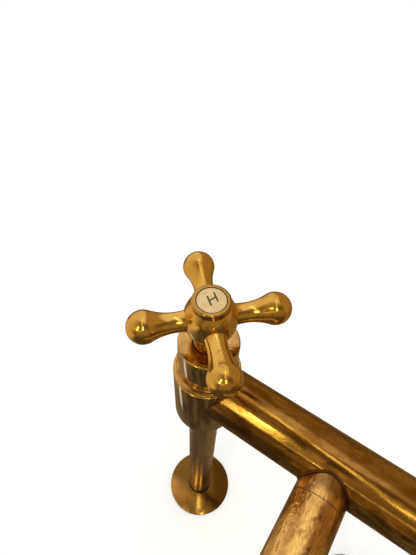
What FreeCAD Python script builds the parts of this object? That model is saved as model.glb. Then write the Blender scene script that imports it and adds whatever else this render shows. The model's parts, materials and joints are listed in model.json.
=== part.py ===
import FreeCAD, Part
import collections
import math
import os
import re

import Sketcher

# A deck-mounted bridge mixer in brass with a cross handle on each valve.
# Frame: the origin is on the deck midway between the two legs, +X runs from the hot
# valve to the cold valve, the spout reaches towards -Y and +Z is up. Millimetres, degrees.

# The two valves alike: which side of the origin each stands on, and how far it is turned
# about its own upright axis so that its side port faces the bridge.
SIDES = {"hot": ("-valve_spacing / 2", "0"), "cold": ("valve_spacing / 2", "180")}

ARMS_PER_HANDLE = 4
JETS_PER_RING = 6
FLATS_PER_NUT = 6
FLATS_PER_SQUARE = 4

SIZES = {
    # Set-out
    "valve_spacing": 175.0,
    "spout_reach": 150.0,
    "deck_thickness": 26.0,
    # Clearances, each measured on the radius or across one face
    "seam_gap": 0.05,
    "running_gap": 0.1,
    "loose_gap": 0.3,
    # Legs and roses
    "leg_radius": 11.0,
    "leg_wall": 1.1,
    "leg_length": 231.3,
    "rose_radius": 31.8,
    "rose_rim": 1.5,
    "rose_height": 6.5,
    "rose_wall": 1.4,
    "rose_land": 2.9,
    "rose_gap": 0.5,
    # Inlet tails, through the deck
    "seat_flange_radius": 16.5,
    "seat_flange_height": 3.0,
    "collar_height": 2.0,
    "tail_spigot_length": 20.0,
    "shank_radius": 11.5,
    "shank_length": 14.0,
    "tail_thread_radius": 10.48,
    "tail_thread_length": 32.0,
    "pipe_end_radius": 7.5,
    "pipe_end_length": 20.0,
    "tail_bore_radius": 6.5,
    # Fixings under the deck
    "deck_washer_radius": 22.0,
    "deck_washer_thickness": 2.5,
    "slip_washer_radius": 20.0,
    "slip_washer_thickness": 1.5,
    "backnut_width": 30.0,
    "backnut_height": 8.0,
    # Valve bodies
    "body_radius": 20.4,
    "body_round": 0.8,
    "leg_socket_depth": 10.0,
    "inlet_radius": 9.5,
    "inlet_height": 11.2,
    "seat_web": 2.5,
    "seat_lip_height": 1.5,
    "seat_lip_width": 2.2,
    "orifice_radius": 6.0,
    "chamber_radius": 14.5,
    "port_radius": 9.0,
    "port_margin": 0.7,
    "chamber_roof": 0.8,
    "shoulder_margin": 2.2,
    "shoulder_round": 1.2,
    "cove_height": 2.9,
    "cove_radius": 4.6,
    "body_neck_radius": 17.6,
    # Headgear
    "headgear_thread_radius": 12.0,
    "headgear_flange_radius": 15.6,
    "headgear_flange_height": 3.0,
    "headgear_hex_width": 22.0,
    "headgear_hex_height": 7.5,
    "headgear_neck_radius": 8.2,
    "headgear_neck_height": 7.0,
    "guide_length": 4.0,
    "stuffing_radius": 6.5,
    "stuffing_depth": 6.0,
    "fibre_washer_thickness": 1.5,
    "packing_height": 4.5,
    "gland_skirt_gap": 2.0,
    "gland_hex_width": 18.5,
    "gland_hex_height": 6.3,
    "gland_boss_radius": 8.2,
    "gland_reveal": 0.5,
    # Spindle and jumper
    "stem_radius": 5.0,
    "spindle_thread_radius": 7.0,
    "spindle_thread_length": 11.5,
    "spindle_foot_height": 4.0,
    "spindle_hollow_depth": 11.0,
    "square_width": 7.0,
    "square_length": 11.2,
    "foot_gap": 0.2,
    "jumper_plate_radius": 8.2,
    "jumper_plate_thickness": 2.5,
    "jumper_boss_radius": 4.2,
    "jumper_stem_radius": 2.5,
    "jumper_stem_length": 10.0,
    "jumper_stud_radius": 1.9,
    "tap_washer_radius": 8.4,
    "tap_washer_thickness": 3.5,
    "washer_nut_width": 6.4,
    "washer_nut_height": 2.5,
    # Shrouds
    "shroud_radius": 17.2,
    "shroud_wall": 1.2,
    "shroud_height": 26.7,
    "shroud_top_wall": 1.5,
    "shroud_hole_radius": 9.1,
    "shroud_round": 0.8,
    # Cross handles
    "handle_gap": 10.5,
    "handle_angle": 45.0,
    "hub_height": 23.7,
    "hub_foot_radius": 9.9,
    "hub_rim_radius": 11.3,
    "hub_rim_height": 3.0,
    "hub_bow_radius": 17.6,
    "hub_top_radius": 9.5,
    "arm_level": 12.3,
    "arm_root_reach": 9.0,
    "waist_reach": 17.5,
    "waist_radius": 5.2,
    "ball_reach": 33.4,
    "ball_radius": 8.6,
    "square_socket_depth": 11.5,
    "screw_web": 2.5,
    "screw_head_radius": 4.2,
    "screw_head_height": 3.4,
    "screw_slot_width": 1.0,
    "screw_slot_depth": 1.2,
    "screw_radius": 2.5,
    "screw_length": 11.0,
    # Index rings and discs
    "ring_radius": 9.8,
    "ring_flange_height": 3.5,
    "ring_round": 1.3,
    "ring_nose_radius": 8.4,
    "ring_nose_length": 4.0,
    "ring_hollow_radius": 6.0,
    "ring_hollow_depth": 4.2,
    "disc_radius": 7.5,
    "disc_thickness": 1.6,
    "disc_drop": 0.2,
    # Bridge and spout
    "bridge_radius": 17.5,
    "bridge_wall": 1.5,
    "spout_radius": 14.0,
    "spout_wall": 1.2,
    "spout_stub_reach": 24.5,
    "spout_spigot_length": 6.0,
    "spout_spigot_wall": 1.2,
    "spout_bend_radius": 40.0,
    "spout_drop": 8.0,
    "nozzle_radius": 15.3,
    "nozzle_overlap": 5.0,
    "nozzle_length": 15.2,
    "nozzle_round": 0.8,
    "nozzle_thread_radius": 11.2,
    "nozzle_step": 1.4,
    "straightener_thickness": 6.0,
    "straightener_inset": 0.8,
    "jet_radius": 2.0,
    "jet_circle_radius": 7.0,
}

# Heights above the deck, and shapes shared by two or more pieces, worked out from the sizes.
LEVELS = {
    "leg_base": "seat_flange_height + collar_height",
    "leg_top": "leg_base + leg_length",
    "body_base": "leg_top - leg_socket_depth",
    "inlet_top": "leg_top + inlet_height",
    "chamber_floor": "inlet_top + seat_web",
    "seat": "chamber_floor + seat_lip_height",
    "bridge_level": "seat + port_margin + port_radius",
    "chamber_top": "bridge_level + port_radius + chamber_roof",
    "shoulder": "bridge_level + bridge_radius + shoulder_margin",
    "body_top": "shoulder + cove_height",
    "headgear_seat": "body_top + fibre_washer_thickness",
    "hex_base": "headgear_seat + headgear_flange_height",
    "neck_base": "hex_base + headgear_hex_height",
    "neck_top": "neck_base + headgear_neck_height",
    "stuffing_floor": "neck_top - stuffing_depth",
    "guide_floor": "stuffing_floor - guide_length",
    "packing_top": "stuffing_floor + packing_height",
    "gland_base": "neck_base + gland_skirt_gap",
    "gland_ceiling": "neck_top + seam_gap",
    "shroud_top": "body_top + shroud_height",
    "gland_top": "shroud_top - gland_reveal",
    "hub_base": "shroud_top + handle_gap",
    "hub_top": "hub_base + hub_height",
    "spindle_foot": "chamber_top + spindle_foot_height",
    "washer_top": "seat + tap_washer_thickness",
    "boss_top": "spindle_foot - foot_gap",
    "screw_seat": "hub_base + square_socket_depth + screw_web",
    "ring_top": "hub_top + ring_flange_height",
    "disc_top": "ring_top - disc_drop",
    "leg_inner_radius": "leg_radius - leg_wall",
    "body_thread_radius": "headgear_thread_radius + seam_gap",
    "stem_bore_radius": "stem_radius + running_gap",
    "spindle_hollow_radius": "jumper_stem_radius + running_gap",
    "tail_fit_radius": "tail_thread_radius + seam_gap",
    "spout_inner_radius": "spout_radius - spout_wall",
    "spout_spigot_radius": "spout_inner_radius - seam_gap",
    "spout_passage_radius": "spout_spigot_radius - spout_spigot_wall",
    "spout_bend_start": "spout_reach - spout_bend_radius",
    "spout_end": "bridge_level - spout_bend_radius - spout_drop",
    "nozzle_top": "spout_end + nozzle_overlap",
    "nozzle_base": "nozzle_top - nozzle_length",
    "arm_flare_radius": "((ball_reach - waist_reach) ^ 2 + waist_radius ^ 2 - ball_radius ^ 2)"
    " / (2 * (ball_radius - waist_radius))",
    "arm_blend_reach": "ball_reach - ball_radius * (ball_reach - waist_reach)"
    " / (arm_flare_radius + ball_radius)",
    "arm_blend_radius": "ball_radius * (waist_radius + arm_flare_radius)"
    " / (arm_flare_radius + ball_radius)",
    "arm_root_radius": "waist_radius + arm_flare_radius"
    " - sqrt(arm_flare_radius ^ 2 - (waist_reach - arm_root_reach) ^ 2)",
}

SHEET_OF = {name: "Sizes" for name in SIZES}
SHEET_OF.update({name: "Levels" for name in LEVELS})

# A corner of an outline: across and along are formulas of the two sketch directions. bow is
# the radius of the arc that leaves the corner, or empty for a straight line, and side is 1
# where the centre of that arc lies to the left of the way along the outline, -1 to the right.
Corner = collections.namedtuple("Corner", "across along bow side", defaults=("", 1))

doc = FreeCAD.newDocument("bridge_mixer")


def bound(formula):
    """The formula with each size written after the sheet that holds it."""
    return re.sub(
        r"[a-z]\w*",
        lambda word: ".".join(filter(None, (SHEET_OF.get(word.group()), word.group()))),
        formula,
    )


def number(formula):
    """The present value of a formula."""
    return float(sizes.evalExpression(bound(formula)))


def fill_sheet(name, cells):
    """A spreadsheet with the name of each cell in column A and its content in column B."""
    sheet = doc.addObject("Spreadsheet::Sheet", name)
    for row, (alias, content) in enumerate(cells.items(), start=1):
        sheet.set(f"A{row}", alias)
        sheet.set(f"B{row}", content)
        sheet.setAlias(f"B{row}", alias)
    doc.recompute()
    return sheet


def place(body, x="0", y="0", z="0", turn="0"):
    """Binds where the piece stands, and its turn about its own upright axis."""
    body.setExpression("Placement.Base.x", bound(x))
    body.setExpression("Placement.Base.y", bound(y))
    body.setExpression("Placement.Base.z", bound(z))
    body.setExpression("Placement.Rotation.Angle", bound(turn))


def new_body(label, **where):
    body = doc.addObject("PartDesign::Body", label)
    body.Label = label
    place(body, **where)
    return body


def origin_feature(body, role):
    return next(item for item in body.Origin.OriginFeatures if item.Role == role)


def new_sketch(body, name, plane, out="0", up="0"):
    """A sketch on an origin plane, moved out along the plane's normal and up in the plane."""
    sketch = body.newObject("Sketcher::SketchObject", f"{body.Label}_{name}")
    sketch.AttachmentSupport = [(origin_feature(body, plane), "")]
    sketch.MapMode = "FlatFace"
    sketch.setExpression("AttachmentOffset.Base.z", bound(out))
    sketch.setExpression("AttachmentOffset.Base.y", bound(up))
    return sketch


def bind(sketch, kind, *place_and_value):
    """Adds a dimension to the sketch and binds it to a formula, which comes last."""
    *where, formula = place_and_value
    index = sketch.addConstraint(Sketcher.Constraint(kind, *where, number(formula)))
    sketch.setExpression(f"Constraints[{index}]", bound(formula))


def pin_point(sketch, piece, end, across, along):
    """Fixes one end of a line or arc at its two distances from the sketch's origin."""
    for kind, axis, formula in (("DistanceX", -2, across), ("DistanceY", -1, along)):
        if formula == "0":
            sketch.addConstraint(Sketcher.Constraint("PointOnObject", piece, end, axis))
        else:
            bind(sketch, kind, -1, 1, piece, end, formula)


def arc_piece(start, end, radius, side):
    """The short arc between two points with its centre on the given side of the way."""
    chord = end - start
    left = FreeCAD.Vector(-chord.y, chord.x, 0).normalize()
    rise = math.sqrt(radius**2 - (chord.Length / 2) ** 2)
    centre = (start + end) / 2 + left * (side * rise)
    first, last = (start, end) if side > 0 else (end, start)
    angles = [math.atan2(point.y - centre.y, point.x - centre.x) for point in (first, last)]
    if angles[1] < angles[0]:
        angles[1] += 2 * math.pi
    circle = Part.Circle(centre, FreeCAD.Vector(0, 0, 1), radius)
    return Part.ArcOfCircle(circle, angles[0], angles[1])


def draw(sketch, corners, closed=True):
    """Draws the outline through the corners, with every corner and arc bound to its formula."""
    points = [FreeCAD.Vector(number(item.across), number(item.along), 0) for item in corners]
    count = len(corners) if closed else len(corners) - 1
    ends = []
    for index in range(count):
        corner = corners[index]
        start, end = points[index], points[(index + 1) % len(points)]
        if corner.bow:
            piece = sketch.addGeometry(arc_piece(start, end, number(corner.bow), corner.side))
            bind(sketch, "Radius", piece, corner.bow)
        else:
            piece = sketch.addGeometry(Part.LineSegment(start, end))
        backwards = corner.bow and corner.side < 0
        ends.append((piece, 2, 1) if backwards else (piece, 1, 2))
    for index, (piece, start, _) in enumerate(ends):
        pin_point(sketch, piece, start, corners[index].across, corners[index].along)
        if closed or index:
            before, _, before_end = ends[index - 1]
            sketch.addConstraint(
                Sketcher.Constraint("Coincident", before, before_end, piece, start)
            )
    if not closed:
        piece, _, end = ends[-1]
        pin_point(sketch, piece, end, corners[-1].across, corners[-1].along)


def draw_circle(sketch, radius, across="0", along="0"):
    centre = FreeCAD.Vector(number(across), number(along), 0)
    circle = Part.Circle(centre, FreeCAD.Vector(0, 0, 1), number(radius))
    piece = sketch.addGeometry(circle)
    bind(sketch, "Radius", piece, radius)
    if across == along == "0":
        sketch.addConstraint(Sketcher.Constraint("Coincident", piece, 3, -1, 1))
    else:
        pin_point(sketch, piece, 3, across, along)


def draw_polygon(sketch, sides, width):
    """A regular polygon about the sketch's origin, given its width across flats."""
    corner_radius = f"({width}) / 2 / cos({180 / sides})"
    upright = FreeCAD.Vector(0, 0, 1)
    first = FreeCAD.Vector(0, number(corner_radius), 0)
    step = 360 / sides
    corners = [
        FreeCAD.Rotation(upright, step * (index + 0.5)).multVec(first) for index in range(sides)
    ]
    for index, corner in enumerate(corners):
        sketch.addGeometry(Part.LineSegment(corner, corners[(index + 1) % sides]))
    guide = Part.Circle(FreeCAD.Vector(), upright, number(corner_radius))
    ring = sketch.addGeometry(guide, True)
    sketch.addConstraint(Sketcher.Constraint("Coincident", ring, 3, -1, 1))
    bind(sketch, "Radius", ring, corner_radius)
    for index in range(sides):
        following = (index + 1) % sides
        sketch.addConstraint(Sketcher.Constraint("Coincident", index, 2, following, 1))
        sketch.addConstraint(Sketcher.Constraint("PointOnObject", index, 1, ring))
        if index:
            sketch.addConstraint(Sketcher.Constraint("Equal", 0, index))
    sketch.addConstraint(Sketcher.Constraint("Horizontal", sides - 1))


def revolve(body, sketch, axis="V_Axis"):
    feature = body.newObject("PartDesign::Revolution", f"{sketch.Name}_turned")
    feature.Profile = sketch
    feature.ReferenceAxis = (sketch, [axis])
    feature.Angle = 360
    return feature


def extrude(body, sketch, length, cut=False, back=False, both_ways=False):
    """Pads or pockets a sketch, and checks that the solid grew or shrank."""
    before = body.Tip.Shape.Volume if body.Tip else 0.0
    kind = "Pocket" if cut else "Pad"
    feature = body.newObject(f"PartDesign::{kind}", f"{sketch.Name}_{kind.lower()}")
    feature.Profile = sketch
    feature.setExpression("Length", bound(length))
    feature.Reversed = back
    if both_ways:
        feature.SideType = "Symmetric"
    doc.recompute()
    change = feature.Shape.Volume - before
    if cut == (change >= 0):
        raise ValueError(f"{feature.Name} changed the volume by {change:.3f}")
    return feature


def turned(label, corners, **where):
    """A piece turned about its upright axis from an outline of radius and height."""
    body = new_body(label, **where)
    sketch = new_sketch(body, "outline", "XZ_Plane")
    draw(sketch, corners)
    revolve(body, sketch)
    doc.recompute()
    return body


def prism(body, name, sides, width, base, height, cut=False):
    """Adds or cuts a regular prism that rises from the base height."""
    sketch = new_sketch(body, name, "XY_Plane", out=base)
    draw_polygon(sketch, sides, width)
    return extrude(body, sketch, height, cut=cut, back=cut)


def repeat_about_axis(body, feature, count):
    pattern = body.newObject("PartDesign::PolarPattern", f"{feature.Name}_ring")
    pattern.Originals = [feature]
    pattern.Axis = (origin_feature(body, "Z_Axis"), [""])
    pattern.Angle = 360
    pattern.Occurrences = count
    body.Tip = pattern
    doc.recompute()


def washer(label, inner, outer, thickness, **where):
    return turned(
        label,
        [
            Corner(inner, "0"),
            Corner(outer, "0"),
            Corner(outer, thickness),
            Corner(inner, thickness),
        ],
        **where,
    )


def inlet_tail(label, **where):
    """The tail that seats the leg on the deck: spigot, flange, shank, thread and pipe end."""
    thread_end = "pipe_end_length"
    thread_start = f"{thread_end} + tail_thread_length"
    deck = f"{thread_start} + shank_length"
    flange = f"{deck} + seat_flange_height"
    collar = f"{flange} + collar_height"
    top = f"{collar} + tail_spigot_length"
    spigot = "leg_inner_radius - seam_gap"
    return turned(
        label,
        [
            Corner("tail_bore_radius", "0"),
            Corner("pipe_end_radius", "0"),
            Corner("pipe_end_radius", thread_end),
            Corner("tail_thread_radius", thread_end),
            Corner("tail_thread_radius", thread_start),
            Corner("shank_radius", thread_start),
            Corner("shank_radius", deck),
            Corner("seat_flange_radius", deck),
            Corner("seat_flange_radius", flange),
            Corner("leg_radius", flange),
            Corner("leg_radius", collar),
            Corner(spigot, collar),
            Corner(spigot, top),
            Corner("tail_bore_radius", top),
        ],
        z="-(shank_length + tail_thread_length + pipe_end_length)",
        **where,
    )


def deck_fixings(side, **where):
    """Rubber washer, metal washer and backnut that clamp the tail from under the deck."""
    washer(
        f"{side}_deck_washer",
        "tail_fit_radius",
        "deck_washer_radius",
        "deck_washer_thickness",
        z="-deck_thickness - deck_washer_thickness",
        **where,
    )
    washer(
        f"{side}_slip_washer",
        "tail_fit_radius",
        "slip_washer_radius",
        "slip_washer_thickness",
        z="-deck_thickness - deck_washer_thickness - slip_washer_thickness",
        **where,
    )
    nut = new_body(
        f"{side}_backnut",
        z="-deck_thickness - deck_washer_thickness - slip_washer_thickness - backnut_height",
        **where,
    )
    prism(nut, "hexagon", FLATS_PER_NUT, "backnut_width", "0", "backnut_height")
    hole = new_sketch(nut, "hole", "XY_Plane")
    draw_circle(hole, "tail_fit_radius")
    extrude(nut, hole, "backnut_height", cut=True, back=True)


def leg_and_rose(side, **where):
    """The upright tube and the shallow hollow cone that covers the tail's flange."""
    washer(f"{side}_leg_tube", "leg_inner_radius", "leg_radius", "leg_length", z="leg_base", **where)
    hole = "leg_radius + rose_gap"
    turned(
        f"{side}_deck_rose",
        [
            Corner("rose_radius - rose_land", "0"),
            Corner("rose_radius", "0"),
            Corner("rose_radius", "rose_rim"),
            Corner(hole, "rose_height"),
            Corner(hole, "rose_height - rose_wall"),
        ],
        **where,
    )


def valve_body(side, **where):
    """The cast body: leg socket, seat with its raised lip, chamber, thread and side port."""
    socket = "leg_radius + seam_gap"
    socket_top = "leg_socket_depth"
    neck = "body_top - body_base"
    shoulder = "shoulder - body_base"
    lip_radius = "orifice_radius + seat_lip_width"
    body = turned(
        f"{side}_valve_body",
        [
            Corner(socket, "0"),
            Corner("body_radius - body_round", "0", "body_round", 1),
            Corner("body_radius", "body_round"),
            Corner("body_radius", f"{shoulder} - shoulder_round", "shoulder_round", 1),
            Corner("body_radius - shoulder_round", shoulder, "cove_radius", -1),
            Corner("body_neck_radius", neck),
            Corner("body_thread_radius", neck),
            Corner("body_thread_radius", "chamber_top - body_base"),
            Corner("chamber_radius", "chamber_top - body_base"),
            Corner("chamber_radius", "chamber_floor - body_base"),
            Corner(lip_radius, "chamber_floor - body_base"),
            Corner(lip_radius, "seat - body_base"),
            Corner("orifice_radius", "seat - body_base"),
            Corner("orifice_radius", "inlet_top - body_base"),
            Corner("inlet_radius", "inlet_top - body_base"),
            Corner("inlet_radius", socket_top),
            Corner(socket, socket_top),
        ],
        z="body_base",
        **where,
    )
    port = new_sketch(body, "port", "YZ_Plane")
    draw_circle(port, "port_radius", along="bridge_level - body_base")
    extrude(body, port, "2 * body_radius", cut=True, back=True)


def headgear(side, **where):
    """The screwed-in part of the valve, which holds the spindle's thread and packing."""
    flange = "headgear_seat - chamber_top"
    hexagon = "hex_base - chamber_top"
    neck = "neck_base - chamber_top"
    top = "neck_top - chamber_top"
    guide = "guide_floor - chamber_top"
    stuffing = "stuffing_floor - chamber_top"
    thread = "spindle_thread_radius + running_gap"
    body = turned(
        f"{side}_headgear",
        [
            Corner(thread, "0"),
            Corner("headgear_thread_radius", "0"),
            Corner("headgear_thread_radius", flange),
            Corner("headgear_flange_radius", flange),
            Corner("headgear_flange_radius", hexagon),
            Corner("headgear_neck_radius", hexagon),
            Corner("headgear_neck_radius", top),
            Corner("stuffing_radius", top),
            Corner("stuffing_radius", stuffing),
            Corner("stem_bore_radius", stuffing),
            Corner("stem_bore_radius", guide),
            Corner(thread, guide),
        ],
        z="chamber_top",
        **where,
    )
    across = new_sketch(body, "hexagon", "XY_Plane", out=hexagon)
    draw_polygon(across, FLATS_PER_NUT, "headgear_hex_width")
    draw_circle(across, "(headgear_neck_radius + stuffing_radius) / 2")
    extrude(body, across, f"{neck} - ({hexagon})")
    washer(
        f"{side}_headgear_washer",
        "body_thread_radius",
        "headgear_flange_radius",
        "fibre_washer_thickness",
        z="body_top",
        **where,
    )


def gland(side, **where):
    """The soft packing round the spindle and the gland nut that presses on it."""
    washer(
        f"{side}_gland_packing",
        "stem_radius + seam_gap",
        "stuffing_radius - seam_gap",
        "packing_height",
        z="stuffing_floor",
        **where,
    )
    nose = "stuffing_radius - running_gap"
    female = "headgear_neck_radius + seam_gap"
    ceiling = "gland_ceiling - gland_base"
    nut = turned(
        f"{side}_gland_nut",
        [
            Corner("stem_bore_radius", "packing_top - gland_base"),
            Corner(nose, "packing_top - gland_base"),
            Corner(nose, ceiling),
            Corner(female, ceiling),
            Corner(female, "0"),
            Corner("gland_boss_radius + loose_gap", "0"),
            Corner("gland_boss_radius + loose_gap", "gland_hex_height"),
            Corner("gland_boss_radius", "gland_hex_height"),
            Corner("gland_boss_radius", "gland_top - gland_base"),
            Corner("stem_bore_radius", "gland_top - gland_base"),
        ],
        z="gland_base",
        **where,
    )
    across = new_sketch(nut, "hexagon", "XY_Plane")
    draw_polygon(across, FLATS_PER_NUT, "gland_hex_width")
    draw_circle(across, f"({female} + gland_boss_radius + loose_gap) / 2")
    extrude(nut, across, "gland_hex_height")


def shroud(side, **where):
    """The plain tube with a flat holed top that hides the headgear."""
    inner = "shroud_radius - shroud_wall"
    ceiling = "shroud_height - shroud_top_wall"
    turned(
        f"{side}_shroud",
        [
            Corner(inner, "0"),
            Corner("shroud_radius", "0"),
            Corner("shroud_radius", "shroud_height - shroud_round", "shroud_round", 1),
            Corner("shroud_radius - shroud_round", "shroud_height"),
            Corner("shroud_hole_radius", "shroud_height"),
            Corner("shroud_hole_radius", ceiling),
            Corner(inner, ceiling),
        ],
        z="body_top",
        **where,
    )


def spindle(side, **where):
    """The rising spindle: screwed foot with a hollow, round stem and square for the handle."""
    stem = "hub_base - spindle_foot"
    body = turned(
        f"{side}_spindle",
        [
            Corner("spindle_hollow_radius", "0"),
            Corner("spindle_thread_radius", "0"),
            Corner("spindle_thread_radius", "spindle_thread_length"),
            Corner("stem_radius", "spindle_thread_length"),
            Corner("stem_radius", stem),
            Corner("0", stem),
            Corner("0", "spindle_hollow_depth"),
            Corner("spindle_hollow_radius", "spindle_hollow_depth"),
        ],
        z="spindle_foot",
        **where,
    )
    prism(body, "square", FLATS_PER_SQUARE, "square_width", stem, "square_length")
    tip = f"{stem} + square_length"
    hole = new_sketch(body, "screw_hole", "XY_Plane", out=tip)
    draw_circle(hole, "screw_radius + seam_gap")
    depth = "screw_length - screw_web - (square_socket_depth - square_length) + loose_gap"
    extrude(body, hole, depth, cut=True)


def jumper(side, **where):
    """The jumper, its washer and the nut that holds the washer on: they rise with the spindle."""
    boss = "boss_top - washer_top"
    stud = "washer_nut_height + tap_washer_thickness + loose_gap"
    turned(
        f"{side}_jumper",
        [
            Corner("0", "0"),
            Corner("jumper_stud_radius", "0"),
            Corner("jumper_stud_radius", stud),
            Corner("jumper_plate_radius", stud),
            Corner("jumper_plate_radius", f"{stud} + jumper_plate_thickness"),
            Corner("jumper_boss_radius", f"{stud} + jumper_plate_thickness"),
            Corner("jumper_boss_radius", f"{stud} + {boss}"),
            Corner("jumper_stem_radius", f"{stud} + {boss}"),
            Corner("jumper_stem_radius", f"{stud} + {boss} + jumper_stem_length"),
            Corner("0", f"{stud} + {boss} + jumper_stem_length"),
        ],
        z=f"washer_top - ({stud})",
        **where,
    )
    washer(
        f"{side}_tap_washer",
        "jumper_stud_radius + seam_gap",
        "tap_washer_radius",
        "tap_washer_thickness",
        z="seat",
        **where,
    )
    nut = new_body(f"{side}_washer_nut", z="seat - washer_nut_height", **where)
    prism(nut, "hexagon", FLATS_PER_NUT, "washer_nut_width", "0", "washer_nut_height")
    hole = new_sketch(nut, "hole", "XY_Plane")
    draw_circle(hole, "jumper_stud_radius + seam_gap")
    extrude(nut, hole, "washer_nut_height", cut=True, back=True)


def cross_handle(side, **where):
    """A ball-like hub with four pear-shaped arms, a square socket and a recess for the ring."""
    recess = "hub_height - ring_nose_length - running_gap"
    seat = "square_socket_depth + screw_web"
    counterbore = "screw_head_radius + loose_gap"
    hub = turned(
        f"{side}_cross_handle",
        [
            Corner("0", "0"),
            Corner("hub_foot_radius", "0"),
            Corner("hub_rim_radius", "hub_rim_height", "hub_bow_radius", 1),
            Corner("hub_top_radius", "hub_height"),
            Corner("ring_nose_radius + seam_gap", "hub_height"),
            Corner("ring_nose_radius + seam_gap", recess),
            Corner(counterbore, recess),
            Corner(counterbore, seat),
            Corner("0", seat),
        ],
        z="hub_base",
        **where,
    )
    arm = new_sketch(hub, "arm", "XZ_Plane", up="arm_level")
    draw(
        arm,
        [
            Corner("arm_root_reach", "0"),
            Corner("ball_reach + ball_radius", "0", "ball_radius", 1),
            Corner("arm_blend_reach", "arm_blend_radius", "arm_flare_radius", -1),
            Corner("arm_root_reach", "arm_root_radius"),
        ],
    )
    first_arm = revolve(hub, arm, "H_Axis")
    doc.recompute()
    repeat_about_axis(hub, first_arm, ARMS_PER_HANDLE)
    socket_width = "square_width + 2 * running_gap"
    prism(hub, "socket", FLATS_PER_SQUARE, socket_width, "0", "square_socket_depth", cut=True)
    hole = new_sketch(hub, "screw_hole", "XY_Plane")
    draw_circle(hole, "screw_radius + running_gap")
    extrude(hub, hole, seat, cut=True, back=True)


def handle_screw(side, **where):
    """The slotted screw that holds the handle down on the spindle's square."""
    head = "screw_length + screw_head_height"
    screw = turned(
        f"{side}_handle_screw",
        [
            Corner("0", "0"),
            Corner("screw_radius", "0"),
            Corner("screw_radius", "screw_length"),
            Corner("screw_head_radius", "screw_length"),
            Corner("screw_head_radius", head),
            Corner("0", head),
        ],
        z="screw_seat - screw_length",
        **where,
    )
    slot = new_sketch(screw, "slot", "XZ_Plane")
    half = "screw_slot_width / 2"
    floor = f"{head} - screw_slot_depth"
    draw(
        slot,
        [
            Corner(f"-{half}", floor),
            Corner(half, floor),
            Corner(half, head),
            Corner(f"-{half}", head),
        ],
    )
    extrude(screw, slot, "3 * screw_head_radius", cut=True, both_ways=True)


def index_top(side, **where):
    """The pressed-in ring and the enamelled disc that lies in it."""
    flange = "ring_nose_length"
    top = f"{flange} + ring_flange_height"
    floor = f"{top} - disc_drop - disc_thickness"
    cup = "disc_radius + seam_gap"
    turned(
        f"{side}_index_ring",
        [
            Corner("ring_hollow_radius", "0"),
            Corner("ring_nose_radius", "0"),
            Corner("ring_nose_radius", flange),
            Corner("ring_radius", flange),
            Corner("ring_radius", f"{top} - ring_round", "ring_round", 1),
            Corner("ring_radius - ring_round", top),
            Corner(cup, top),
            Corner(cup, floor),
            Corner("0", floor),
            Corner("0", "ring_hollow_depth"),
            Corner("ring_hollow_radius", "ring_hollow_depth"),
        ],
        z="hub_top - ring_nose_length",
        **where,
    )
    turned(
        f"{side}_index_disc",
        [
            Corner("0", "0"),
            Corner("disc_radius", "0"),
            Corner("disc_radius", "disc_thickness"),
            Corner("0", "disc_thickness"),
        ],
        z="disc_top - disc_thickness",
        **where,
    )


def valve_side(side, x, turn):
    """Every piece that stands on one valve's axis, from the pipe end up to the index disc."""
    fixed = {"x": x, "turn": turn}
    turning = {"x": x, "turn": f"{turn} + handle_angle"}
    inlet_tail(f"{side}_inlet_tail", **fixed)
    deck_fixings(side, **fixed)
    leg_and_rose(side, **fixed)
    valve_body(side, **fixed)
    headgear(side, **fixed)
    gland(side, **fixed)
    shroud(side, **fixed)
    jumper(side, **fixed)
    spindle(side, **turning)
    cross_handle(side, **turning)
    handle_screw(side, **turning)
    index_top(side, **turning)


def bridge_tube():
    """The thick cross tube, its ends cut to saddle on the two valve bodies."""
    bridge = new_body("bridge_tube", z="bridge_level")
    ring = new_sketch(bridge, "ring", "YZ_Plane")
    draw_circle(ring, "bridge_radius")
    draw_circle(ring, "bridge_radius - bridge_wall")
    extrude(bridge, ring, "valve_spacing", both_ways=True)
    for side, (x, _) in SIDES.items():
        saddle = new_sketch(bridge, f"{side}_saddle", "XY_Plane")
        draw_circle(saddle, "body_radius + seam_gap", across=x)
        extrude(bridge, saddle, "3 * bridge_radius", cut=True, both_ways=True)
    port = new_sketch(bridge, "spout_port", "XZ_Plane")
    draw_circle(port, "spout_passage_radius")
    extrude(bridge, port, "2 * bridge_radius", cut=True, back=True)


def spout_stub():
    """The short fish-mouthed stub on the bridge, with the spigot that the spout slides over."""
    stub = new_body("spout_stub", z="bridge_level")
    for name, outer, length in (
        ("sleeve", "spout_radius", "spout_stub_reach"),
        ("spigot", "spout_spigot_radius", "spout_stub_reach + spout_spigot_length"),
    ):
        ring = new_sketch(stub, name, "XZ_Plane")
        draw_circle(ring, outer)
        draw_circle(ring, "spout_passage_radius")
        extrude(stub, ring, length)
    mouth = new_sketch(stub, "fish_mouth", "YZ_Plane")
    draw_circle(mouth, "bridge_radius + seam_gap")
    extrude(stub, mouth, "4 * spout_radius", cut=True, both_ways=True)


def spout_tube():
    """The spout: a level run towards the user, a quarter bend down and a short drop."""
    spout = new_body("spout_tube", z="bridge_level")
    route = new_sketch(spout, "route", "YZ_Plane")
    draw(
        route,
        [
            Corner("-spout_stub_reach", "0"),
            Corner("-spout_bend_start", "0", "spout_bend_radius", 1),
            Corner("-spout_reach", "-spout_bend_radius"),
            Corner("-spout_reach", "-spout_bend_radius - spout_drop"),
        ],
        closed=False,
    )
    ring = new_sketch(spout, "ring", "XZ_Plane", out="spout_stub_reach")
    draw_circle(ring, "spout_radius")
    draw_circle(ring, "spout_inner_radius")
    pipe = spout.newObject("PartDesign::AdditivePipe", "spout_pipe")
    pipe.Profile = ring
    pipe.Spine = (route, ["Edge1", "Edge2", "Edge3"])
    doc.recompute()


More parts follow.
